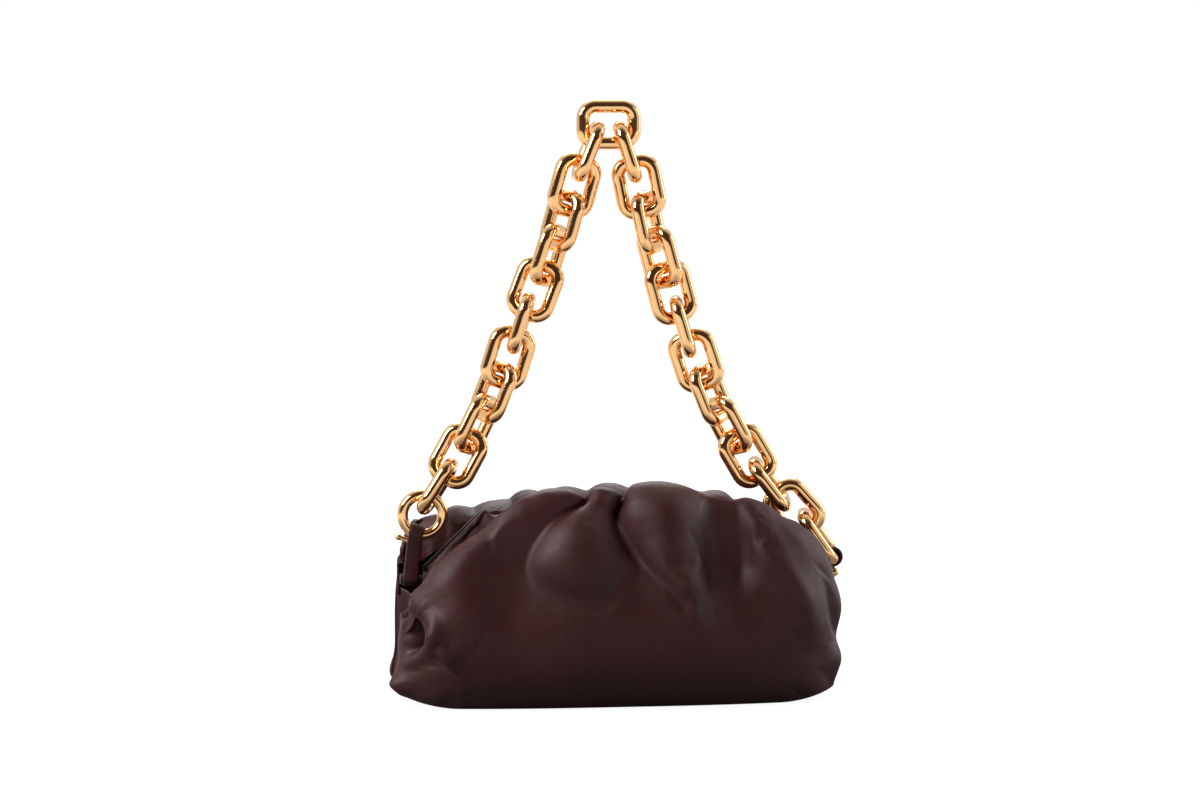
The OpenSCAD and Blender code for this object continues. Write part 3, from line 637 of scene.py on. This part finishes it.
def swell(name, P, pins, frames=14, pressure=PRESS, grow=0.03, cap=7.0):
    """Lets the leather swell as cloth between its pinned seams and pleats, by no more than cap. The share
    that its loose part grows by is grow. Takes and gives grid points."""
    nu, nv = P.shape[:2]
    scale = CLOTH_SCALE * MM
    o = add_mesh(name, (P.reshape(-1, 3) * scale).tolist(), grid_quads(nu, nv)[1].tolist(), smooth=False)
    weight_group(o, "pin", np.clip(pins, 0, 1))
    # Only the upper half of the panel has leather to spare.
    loose = np.interp(np.arange(nv), [0, nv * 0.28, nv * 0.5, nv], [0, 0.05, 1, 1])
    weight_group(o, "loose", np.broadcast_to(loose, (nu, nv)))
    md = o.modifiers.new("cloth", "CLOTH")
    c = md.settings
    c.quality = 5
    c.mass = 0.4
    c.tension_stiffness = c.compression_stiffness = 25
    c.shear_stiffness = 12
    c.bending_stiffness = 1.5
    c.tension_damping = c.compression_damping = 15
    c.air_damping = 3
    c.vertex_group_mass = "pin"
    c.pin_stiffness = 3
    c.vertex_group_shrink = "loose"
    c.shrink_min = 0.0
    c.shrink_max = -grow
    c.use_pressure = True
    c.uniform_pressure_force = pressure
    c.effector_weights.gravity = 0
    md.collision_settings.use_collision = False
    md.collision_settings.use_self_collision = False
    md.point_cache.frame_start, md.point_cache.frame_end = 1, frames
    sc = bpy.context.scene
    for f in range(1, frames + 1):
        sc.frame_set(f)
    dg = bpy.context.evaluated_depsgraph_get()
    ev = o.evaluated_get(dg)
    out = np.empty(nu * nv * 3)
    ev.data.vertices.foreach_get("co", out)
    out = out.reshape(P.shape) / scale
    sc.frame_set(1)
    me = o.data
    bpy.data.objects.remove(o)
    bpy.data.meshes.remove(me)
    move = out - P
    length = np.linalg.norm(move, axis=-1, keepdims=True) + 1e-9
    return P + move * np.minimum(1, cap / length)


def pins_of(f):
    """Pin weights: 1 at the seams and the lip, and along the deep pleats."""
    w = np.clip((-f.D - 4.0) / 6.0, 0, 1) * 0.9
    e = np.zeros_like(w)
    e[:, :3] = 1
    e[:, -6:] = 1
    e[:3, :] = 1
    e[-3:, :] = 1
    return np.maximum(w, e)


front = front_folds()
rear = rear_folds()
FRONT = relax(front.result(), 2)
REAR = relax(rear.result(), 2)
FRONT = swell("cloth_front", FRONT, pins_of(front))
REAR = swell("cloth_rear", REAR[::-1], pins_of(rear)[::-1])[::-1]
FRONT = relax(FRONT, 1)
REAR = relax(REAR, 1)


def crease(f, P, side, lines):
    """Narrow rims and creases pressed into the swollen leather."""
    f.D = np.zeros_like(f.D)
    f.shift = np.zeros_like(P)
    for line in lines:
        f.line(*line)
    return P + facing(P, side) * f.D[..., None] + f.shift


FRONT = crease(front, FRONT, -1, [
    ([(-64, 145), (-80, 134), (-95, 120.5), (-107, 109), (-120, 96), (-129, 85.5), (-136, 74), (-141, 60)],
     [-0.5, -1.8, -2.6, -3, -3, -2.6, -2.2, -0.8], [2.6] * 8, 0.3),
    ([(-66, "t7.5"), (-80, "t7.5"), (-95, "t7.5"), (-110, "t7.5"), (-124, "t7.6"), (-136, "t7.8")],
     [1, 3, 4, 4, 3.5, 1.5], [4] * 6, 0.3),
    ([(5, "t8.4"), (4, "t7.4"), (1, 147), (-3, 139), (-3, 124), (3, 109), (11, 98)],
     [3, 4, 4.5, 4.5, 4, 2.5, 0.8], [3, 3, 3.5, 4, 5, 6, 6], 0.2, 0.5),
    ([(11, "t7.4"), (6, 150), (0, 143), (-1.5, 132)], [-0.8, -1.6, -1.6, -0.3], [2.4] * 4, 0.3),
    ([(-24, "t8.4"), (-25, "t7.2"), (-27, 145), (-35, 141), (-46, 132)],
     [2, 3, 3.2, 2.2, 0.6], [3, 3, 3, 4, 5], 0.2, 0.4),
    ([(-139, 69), (-128, 60), (-126, 51), (-129, 43), (-137, 36), (-145, 30)],
     [-0.6, -2, -2.2, -2.2, -2, -0.8], [2.8] * 6, 0.3),
    ([(-127, 57), (-121, 44), (-113, 30), (-105, 18)], [-0.6, -3.0, -3.0, -0.6], [4, 4.5, 4.5, 4], 0.45),
])
# The inner slope is drawn smooth again over the left arm of the frame.
CALM_ROUNDS = 14
rows = np.arange(NV) * LIP_T / (NV - 1)
calm = np.clip((rows - 6.4) / 0.6, 0, 1)[None, :, None] * np.clip((-66 - FRONT[:, :1, 0:1]) / 14, 0, 1)
for _ in range(CALM_ROUNDS):
    FRONT = FRONT + (relax(FRONT, 1) - FRONT) * calm

for P in (FRONT, REAR):
    P[:, :, 2] = np.maximum(P[:, :, 2], FLOOR_GAP)

nF, nR = facing(FRONT, -1), facing(REAR, 1)
leather_front = shell_mesh("leather_front", FRONT, nF, LEATHER_T, LEATHER, False)
leather_rear = shell_mesh("leather_rear", REAR, nR, LEATHER_T, LEATHER, True)
inside = slice(6, NU - 6)
tight = np.clip((rows - 6.6) / 0.8, 0, 1)[None, :]


def lining_depth(P, left):
    """Depth of the lining under the leather. It is drawn up against it where the crest is folded tightly:
    at both ends, and with left also at the left shoulder and the main pleat."""
    x = P[:, :, 0]
    near = 0 * x
    if left:
        near = np.maximum(np.clip((-52 - x) / 12, 0, 1), np.clip((34 - np.abs(x + 8)) / 10, 0, 1))
    near = np.maximum(near, np.clip((np.abs(x) - 112) / 10, 0, 1))
    return (LEATHER_T + 1.1 - (LEATHER_T + 0.2) * near * tight)[..., None]


def lining_mesh(name, P, N, left, flip):
    under = P - N * lining_depth(P, left)
    return shell_mesh(name, under[inside, 2:-1], N[inside, 2:-1], LINING_T, LINING, flip)


lining_f = lining_mesh("lining_cloth_front", FRONT, nF, True, False)
lining_r = lining_mesh("lining_cloth_rear", REAR, nR, False, True)

GUSSET_TOP = 78.5


def end_gusset(name, end):
    """End gusset, folded inwards between the turned ends of the two panels."""
    rows, cols = 46, 41
    col = 0 if end < 0 else -1
    sets = []
    for P in (FRONT, REAR):
        e = P[col]
        k = int(NV * 0.66)
        zz = np.maximum.accumulate(e[:k, 2])
        lev = np.linspace(max(1.0, zz[0]), min(GUSSET_TOP, zz[-1]), rows)
        sets.append(np.stack([np.interp(lev, zz, e[:k, i]) for i in range(3)], -1))
    A, B = sets
    w = np.linspace(0, 1, cols)[None, :, None]
    G = A[:, None] * (1 - w) + B[:, None] * w
    h = np.linspace(0, 1, rows)[:, None]
    ww = w[0, :, 0][None, :]
    deep = np.interp(h[:, 0], [0, 0.12, 0.4, 0.75, 1], [1.0, 5, 15, 15, 9])[:, None]
    # One deep fold inwards, a slant in it, and fine pleats.
    shape = np.sin(np.pi * ww) ** 1.2 + 0.18 * np.sin(3 * np.pi * ww + 1.4 * h) * np.sin(np.pi * ww)
    pleats = 1.1 * np.sin(ww * 26 + 5 * h) * np.sin(np.pi * ww) * np.clip(h * 1.6, 0, 1)
    G[:, :, 0] -= end * (deep * shape + pleats + 0.9)
    G[:, 0, 1] -= 1.2
    G[:, -1, 1] += 1.2
    n = normals(G)
    if np.sum(n[:, :, 0]) * end < 0:
        n = -n
    return shell_mesh(name, G, n, LEATHER_T, LEATHER, end > 0)


gusset_l = end_gusset("gusset_leather_left", -1)
gusset_r = end_gusset("gusset_leather_right", 1)

# Base, sewn between the feet of the two panels.
w = np.linspace(0, 1, 31)[None, :, None]
BASE = (FRONT[:, 0] + [0, 0.6, 0.4])[:, None] * (1 - w) + (REAR[:, 0] + [0, -0.6, 0.4])[:, None] * w
BASE[:, :, 2] = np.maximum(BASE[:, :, 2], 0.02)
down = np.broadcast_to([0.0, 0.0, -1.0], BASE.shape)
base_leather = shell_mesh("base_leather", BASE, down, LEATHER_T, LEATHER, True)

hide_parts("front_panel")
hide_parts("rear_panel")
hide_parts("lining_front")
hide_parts("lining_rear")
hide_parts("gusset_left")
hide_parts("gusset_right")
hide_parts("base_panel")


# ---------------------------------------------------------------- straps, sleeves, pocket
def sweep(name, path, width_dir, width, thick, mat, closed=False, round_to=5):
    """A flat strap with rounded edges. Its middle line goes along the path, and its width lies along width_dir.
    Both width_dir and width are one value or one a point. Each edge is rounded by round_to points."""
    p = np.array(path, float)
    n = len(p)
    wd = np.broadcast_to(np.array(width_dir, float), p.shape).astype(float)
    wd = wd / np.linalg.norm(wd, axis=1, keepdims=True)
    if closed:
        t = np.roll(p, -1, 0) - np.roll(p, 1, 0)
    else:
        t = np.gradient(p, axis=0)
    t /= np.linalg.norm(t, axis=1, keepdims=True)
    nn = np.cross(t, wd)
    nn /= np.linalg.norm(nn, axis=1, keepdims=True)
    widths = np.broadcast_to(np.array(width, float), (n,))

    def section(w):
        out = []
        hw, ht = w / 2, thick / 2
        r = min(ht * 0.9, 0.9)
        for cx, cy, a0 in ((hw - r, ht - r, 0), (-hw + r, ht - r, 90), (-hw + r, -ht + r, 180),
                           (hw - r, -ht + r, 270)):
            for k in range(round_to):
                a = math.radians(a0 + 90 * k / (round_to - 1))
                out.append((cx + r * math.cos(a), cy + r * math.sin(a)))
        return out

    m = 4 * round_to
    V = np.array([[p[i] + wd[i] * a + nn[i] * b for a, b in section(widths[i])] for i in range(n)]).reshape(-1, 3)
    faces = ring_quads(n, m, closed).tolist()
    if not closed:
        faces.append(tuple(range(m))[::-1])
        faces.append(tuple(range((n - 1) * m, n * m)))
    return add_mesh(name, (V * MM).tolist(), faces, mat)


def loop_path(c0, r0, c1, r1, pinch, n=20):
    """Closed line round two circles in a plane (depth, height), drawn together between them."""
    def arc(c, r, start):
        angles = [math.radians(start - 220 * k / n) for k in range(n + 1)]
        return [(c[0] + r * math.cos(a), c[1] + r * math.sin(a)) for a in angles]

    def waist(y, shares):
        return [(y, c0[1] + f * (c1[1] - c0[1])) for f in shares]

    return arc(c1, r1, 200) + waist(pinch, (0.7, 0.5, 0.3)) + arc(c0, r0, 20) + waist(-pinch, (0.3, 0.5, 0.7))


# Left strap: one loop round the hinge pin and the foot of the ring, which leans.
RING_X, FOOT_X, HINGE_Z, RING_H = -136.0, -139.8, 84.0, 31.2
LEAN = math.radians(21.5)
path, wdir = [], []
for d, h in loop_path((0, 0), 3.75, (0, RING_H), 5.0, 1.15):
    f = min(1, max(0, h / 31.0))
    lean = LEAN * f
    path.append((FOOT_X + (RING_X - FOOT_X) * f + math.sin(lean) * (h - RING_H * f), d, HINGE_Z + h))
    wdir.append((math.cos(lean), 0, -math.sin(lean)))
strap_left = sweep("strap_left", path, wdir, 10.0, 1.9, LEATHER, closed=True)
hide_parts("tab_left")

# Right strap: doubled, laid round the last bar, with both ends on the hinge pin.
BAR, STRAP_X, BAR_R = (151.0, 95.0), 148.4, 5.85
TIP_Z = (80.2, 80.6, 81.4, 82.6, 84, 86)
TIP_W = [3.4, 5.2, 6.6, 7.6, 8, 8, 8]
path = [(STRAP_X - 1.15, z) for z in TIP_Z] + [(STRAP_X - 1.5, 88.0)]
path += [(BAR[0] + BAR_R * math.cos(math.radians(a)), BAR[1] + BAR_R * math.sin(math.radians(a)))
         for a in range(205, -70, -9)]
path += [(STRAP_X + 1.9, 88.2)] + [(STRAP_X + 1.15, z) for z in TIP_Z[::-1]]
widths = TIP_W + [8] * (len(path) - 14) + TIP_W[::-1]
strap_right = sweep("strap_right", [(a, 0, b) for a, b in path], (0, 1, 0), widths, 2.0, LEATHER)
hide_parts("tab_right")


def tube(name, path, outer, inner, mat, wave=0.0):
    """Leather sleeve round a flat bar. path: points in a plane of constant y. outer, inner: (depth, height) of
    the sleeve's section. wave: share by which the outer side is gathered."""
    p = np.array(path, float)
    t = np.gradient(p, axis=0)
    t /= np.linalg.norm(t, axis=1, keepdims=True)
    up = np.cross(t, (0.0, 1.0, 0.0))
    up[up[:, 2] < 0] *= -1
    k = np.linspace(0, 2 * math.pi, 28, endpoint=False)
    n, m = len(p), len(k)

    def ring(size, i, grow):
        c, q = np.cos(k), np.sin(k)
        e = 0.55
        a = np.sign(c) * np.abs(c) ** e * size[0] / 2 * grow
        b = np.sign(q) * np.abs(q) ** e * size[1] / 2 * grow
        return p[i] + a[:, None] * np.array([0, 1.0, 0]) + b[:, None] * up[i]

    s_len = np.concatenate([[0], np.cumsum(np.linalg.norm(np.diff(p, axis=0), axis=1))])
    gather = [1.0 + wave * math.sin(v * 0.9 + 2 * math.sin(v * 0.13)) * 0.5 for v in s_len]
    rows = [ring(inner, i, 1.0) for i in range(n)]
    rows += [ring(outer, i, gather[i]) for i in range(n)][::-1]
    return add_mesh(name, (np.concatenate(rows) * MM).tolist(), ring_quads(2 * n, m).tolist(), mat)


# Section of the sleeves on the frame, outside and inside, and the place and rounding of the arms' knees.
SLEEVE_OUT, SLEEVE_IN = (5.6, 10.6), (3.7, 8.6)
KNEE_X, KNEE_Z, KNEE_ROUND = 86, 126, 3


def sleeve_path(y, reach):
    k = np.linspace(-reach, reach, 150)
    past = np.abs(k) - KNEE_X
    z = KNEE_Z - np.maximum(0, np.sqrt(past ** 2 + KNEE_ROUND ** 2) * 0.5 + past * 0.5) * ARM_DROP / ARM_RUN
    return [(a, y, b) for a, b in zip(k, z)]


sleeve_f = tube("frame_sleeve_front", sleeve_path(-3.55, 118), SLEEVE_OUT, SLEEVE_IN, LEATHER, 0.2)
sleeve_r = tube("frame_sleeve_rear", sleeve_path(3.55, 120), SLEEVE_OUT, SLEEVE_IN, LEATHER, 0.2)
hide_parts("jaw_cover_front")
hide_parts("jaw_cover_rear")

# Inner pocket: a soft pouch, flat at its ends, with its mouth on the zip tapes.
pb = [np.array(c) * 1000 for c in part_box("pocket_pouch")]
nu, nv = 71, 61
xx = np.linspace(pb[0][0], pb[1][0], nu)[:, None]
q = np.linspace(0, 1, nv)[None, :]
mid_y, half_d = (pb[0][1] + pb[1][1]) / 2, (pb[1][1] - pb[0][1]) / 2 - 0.1
top_z, low_z = pb[1][2], pb[0][2]
flat = 1 - np.abs(xx / pb[1][0]) ** 10
swing = np.clip((q - 0.5) / 0.08, -1, 1)
depth = half_d * swing * (0.25 + 0.75 * flat)
sag = 0.5 * np.sin(xx * 0.11 + q * 5) * np.sin(math.pi * np.abs(2 * q - 1)) * flat
height = low_z + (top_z - low_z) * np.abs(2 * q - 1) + 2.2 * (1 - np.abs(swing)) * (1 - flat)
PO = np.stack([np.broadcast_to(xx, depth.shape), mid_y - depth + sag, np.broadcast_to(height, depth.shape)], -1)
n_po = normals(PO)
if np.sum(n_po[:, 10, 1]) < 0:
    n_po = -n_po
pouch = shell_mesh("pocket_cloth", PO, n_po, POUCH_T, LINING, True)
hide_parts("pocket_pouch")

# Zip tapes: two woven tapes with a row of separate teeth on each inner edge.
zb = [np.array(c) * 1000 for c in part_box("zip_tapes")]
zy, zh = (zb[0][1] + zb[1][1]) / 2, (zb[1][1] - zb[0][1]) / 2
TAPE_W, TAPE_T, TAPE_CHAMFER = 2.1, 0.7, 0.15
TOOTH_W, TOOTH_PITCH, TOOTH_CHAMFER = 0.75, 1.35, 0.12


def add_block(V, F, x, y, z, chamfer):
    """Adds a block over the ranges x, y and z, with its upper edges chamfered."""
    (x0, x1), (y0, y1), (z0, z1) = x, y, z
    b = len(V)
    for z, g in ((z0, 0), (z1 - chamfer, 0), (z1, chamfer)):
        V.extend([(x0 + g, y0 + g, z), (x1 - g, y0 + g, z), (x1 - g, y1 - g, z), (x0 + g, y1 - g, z)])
    F.append((b + 3, b + 2, b + 1, b))
    for r in (0, 4):
        for j in range(4):
            F.append((b + r + j, b + r + (j + 1) % 4, b + r + 4 + (j + 1) % 4, b + r + 4 + j))
    F.append((b + 8, b + 9, b + 10, b + 11))


V, F = [], []
for s_ in (-1, 1):
    y = sorted((zy + s_ * (zh - TAPE_W), zy + s_ * zh))
    add_block(V, F, (zb[0][0], zb[1][0]), y, (zb[0][2], zb[0][2] + TAPE_T), TAPE_CHAMFER)
for e_ in (zb[0][0], zb[1][0] - 2):
    add_block(V, F, (e_, e_ + 2), (zb[0][1], zb[1][1]), (zb[0][2] + 0.02, zb[0][2] + 0.75), TAPE_CHAMFER)
tapes = add_mesh("zip_cloth", (np.array(V) * MM).tolist(), F, TAPE, smooth=False)
V, F = [], []
k = zb[0][0] + 3
while k < zb[1][0] - 3:
    for s_ in (-1, 1):
        x0 = k + (0.6 if s_ > 0 else 0)
        y = sorted((zy + s_ * (zh - 2.3), zy + s_ * (zh - 1.2)))
        add_block(V, F, (x0, x0 + TOOTH_W), y, (zb[0][2] + 0.3, zb[1][2] - 0.02), TOOTH_CHAMFER)
    k += TOOTH_PITCH
teeth = add_mesh("zip_teeth", (np.array(V) * MM).tolist(), F, GOLD, smooth=False)
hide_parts("zip_tapes")
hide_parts("zip_tapes")

# Links: round wire in a rounded rectangle, each in the place of its solid.
WIRE_R, BAR_X, BAR_Z, LINK_R = 4.5, 12.4, 17.4, 8.4


def link_middle():
    """Middle line of the wire: (x, z) of each point and the direction (x, z) outwards."""
    pts = []
    for sx, sz, a0 in ((1, 1, 0), (-1, 1, 90), (-1, -1, 180), (1, -1, 270)):
        cx, cz = sx * (BAR_X - LINK_R), sz * (BAR_Z - LINK_R)
        for k in range(13):
            a = math.radians(a0 + 90 * k / 12)
            pts.append((cx + LINK_R * math.cos(a), cz + LINK_R * math.sin(a), math.cos(a), math.sin(a)))
        if a0 in (0, 180):
            for k in (1, 2, 3):
                pts.append((cx - sx * 2 * (BAR_X - LINK_R) * k / 4, sz * BAR_Z, 0, sz))
        else:
            for k in (1, 2, 3, 4, 5):
                pts.append((sx * BAR_X, cz - sz * 2 * (BAR_Z - LINK_R) * k / 6, sx, 0))
    return np.array(pts)


def axes_of(o):
    """Centre and axes (along its length, width and thickness) of a flat solid, from its surface's moments."""
    me = o.data
    co = np.empty(len(me.vertices) * 3)
    me.vertices.foreach_get("co", co)
    m = np.array(o.matrix_world)
    co = co.reshape(-1, 3) @ m[:3, :3].T + m[:3, 3]
    me.calc_loop_triangles()
    t = np.empty(len(me.loop_triangles) * 3, dtype=int)
    me.loop_triangles.foreach_get("vertices", t)
    t = co[t.reshape(-1, 3)]
    area = np.linalg.norm(np.cross(t[:, 1] - t[:, 0], t[:, 2] - t[:, 0]), axis=1)
    c = t.mean(axis=1)
    mid = (c * area[:, None]).sum(0) / area.sum()
    d = c - mid
    ax = np.linalg.eigh((d * area[:, None]).T @ d)[1][:, ::-1].T
    p = (co - mid) @ ax.T
    return mid + ((p.max(0) + p.min(0)) / 2) @ ax, ax


middle = link_middle()
angle = np.linspace(0, 2 * math.pi, 28, endpoint=False)
for n in sorted(nodes):
    if not n.startswith("link_"):
        continue
    mid, (az_, ax_, ay_) = axes_of(nodes[n])
    out = middle[:, 2:3] * ax_ + middle[:, 3:4] * az_
    centre = mid + (middle[:, 0:1] * ax_ + middle[:, 1:2] * az_) * MM
    around = out[:, None] * np.cos(angle)[None, :, None] + ay_[None, None] * np.sin(angle)[None, :, None]
    V = centre[:, None] + WIRE_R * MM * around
    F = ring_quads(*V.shape[:2])[:, [0, 3, 2, 1]]
    if np.dot(np.cross(ax_, ay_), az_) > 0:
        F = F[:, ::-1]
    o = add_mesh("gold_" + n, V.reshape(-1, 3).tolist(), F.tolist(), GOLD)
    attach(o, n)
    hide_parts(n)

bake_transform(leather_front)
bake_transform(leather_rear)
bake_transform(lining_f)
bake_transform(lining_r)
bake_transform(strap_left)
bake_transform(strap_right)
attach(sleeve_f, "front_jaw")
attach(sleeve_r, "rear_jaw")
for o in (pouch, tapes, teeth):
    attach(o, "bag")
for o in (gusset_l, gusset_r, base_leather):
    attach(o, "bag")


# ---------------------------------------------------------------- stage, lights, camera
FLOOR_HALF, FLOOR_Z = 6.0, -0.0002
corners = [(-FLOOR_HALF, -FLOOR_HALF, 0), (FLOOR_HALF, -FLOOR_HALF, 0), (FLOOR_HALF, FLOOR_HALF, 0),
           (-FLOOR_HALF, FLOOR_HALF, 0)]
floor = add_mesh("floor", corners, [(0, 1, 2, 3)], smooth=False)
floor.location = (0, 0, FLOOR_Z)
# The camera sees the floor white. Glossy rays see it glow with the distance, and it lights nothing itself.
fm, nt, sh = new_material("floor")
sh.inputs["Base Color"].default_value = (0.22, 0.22, 0.22, 1)
sh.inputs["Roughness"].default_value = 0.9
sh.inputs["Specular IOR Level"].default_value = 0.1
glow = nt.nodes.new("ShaderNodeEmission")
glow.inputs["Strength"].default_value = 0.93
light = nt.nodes.new("ShaderNodeLightPath")
far = ramp(nt, light.outputs["Ray Length"], [(0.22, 0.06), (0.60, 0.80)])
mirrored = maths(nt, "MULTIPLY", light.outputs["Is Glossy Ray"], far)
seen = maths(nt, "MINIMUM", maths(nt, "ADD", light.outputs["Is Camera Ray"], mirrored), 1.0)
add = nt.nodes.new("ShaderNodeAddShader")
none = nt.nodes.new("ShaderNodeEmission")
none.inputs["Strength"].default_value = 0.0
pick = nt.nodes.new("ShaderNodeMixShader")
nt.links.new(seen, pick.inputs[0])
nt.links.new(none.outputs[0], pick.inputs[1])
nt.links.new(glow.outputs[0], pick.inputs[2])
nt.links.new(sh.outputs[0], add.inputs[0])
nt.links.new(pick.outputs[0], add.inputs[1])
nt.links.new(add.outputs[0], [n for n in nt.nodes if n.type == "OUTPUT_MATERIAL"][0].inputs[0])
floor.data.materials.append(fm)

# The camera sees a white world. The bag is lit by one that is dark towards the front.
world = bpy.data.worlds.new("world")
bpy.context.scene.world = world
world.use_nodes = True
wt = world.node_tree
wt.nodes.clear()
wo = wt.nodes.new("ShaderNodeOutputWorld")
lp = wt.nodes.new("ShaderNodeLightPath")
bg_soft = wt.nodes.new("ShaderNodeBackground")
bg_white = wt.nodes.new("ShaderNodeBackground")
bg_white.inputs["Color"].default_value = (1, 1, 1, 1)
tc = wt.nodes.new("ShaderNodeTexCoord")
sep = wt.nodes.new("ShaderNodeSeparateXYZ")
wt.links.new(tc.outputs["Generated"], sep.inputs[0])
wr = ramp(wt, maths(wt, "ADD", maths(wt, "MULTIPLY", sep.outputs["Y"], 0.5), 0.5),
          [(0.0, (0.070, 0.045, 0.040)), (0.26, (0.085, 0.055, 0.050)), (0.42, 0.42), (0.55, 1.0), (1.0, 0.8)])
wt.links.new(wr, bg_soft.inputs["Color"])
bg_soft.inputs["Strength"].default_value = 0.85
mx = wt.nodes.new("ShaderNodeMixShader")
wt.links.new(lp.outputs["Is Camera Ray"], mx.inputs[0])
wt.links.new(bg_soft.outputs[0], mx.inputs[1])
wt.links.new(bg_white.outputs[0], mx.inputs[2])
wt.links.new(mx.outputs[0], wo.inputs[0])


def area(name, loc, target, size, power, colour=(1, 1, 1)):
    """Rectangular lamp that looks at the target."""
    l = bpy.data.lights.new(name, "AREA")
    l.shape = "RECTANGLE"
    l.size, l.size_y = size
    l.energy = power
    l.color = colour
    o = bpy.data.objects.new(name, l)
    o.location = loc
    o.rotation_euler = (Vector(target) - Vector(loc)).to_track_quat("-Z", "Y").to_euler()
    bpy.context.scene.collection.objects.link(o)


WARM = (1.0, 0.90, 0.86)
area("key", (-1.75, -0.75, 1.45), (0, 0, 0.12), (1.1, 1.1), 42, (1.0, 0.94, 0.92))
area("fill", (1.8, 0.35, 0.8), (0, 0, 0.12), (0.8, 1.2), 10.5, WARM)
area("strip", (1.5, -1.0, 0.55), (0, 0, 0.2), (0.9, 1.9), 4, WARM)
area("back", (0.2, 1.6, 1.7), (0, 0, 0.2), (1.6, 0.9), 20)

# Camera: direction (degrees) and distance from the target, and the width of the picture there (m).
AZ, EL, DIST, WIDE = -7.0, 5.0, 2.6, 0.816
SENSOR = 36
target = Vector((-0.0099, 0.0, 0.2045))
cam_data = bpy.data.cameras.new("camera")
cam = bpy.data.objects.new("camera", cam_data)
bpy.context.scene.collection.objects.link(cam)
az, el = math.radians(AZ), math.radians(EL)
cam.location = target + Vector((math.sin(az) * math.cos(el), -math.cos(az) * math.cos(el), math.sin(el))) * DIST
cam.rotation_euler = (target - cam.location).to_track_quat("-Z", "Y").to_euler()
cam_data.sensor_width = SENSOR
cam_data.lens = SENSOR * DIST / WIDE
bpy.context.scene.camera = cam
bpy.context.scene.view_settings.view_transform = "Standard"
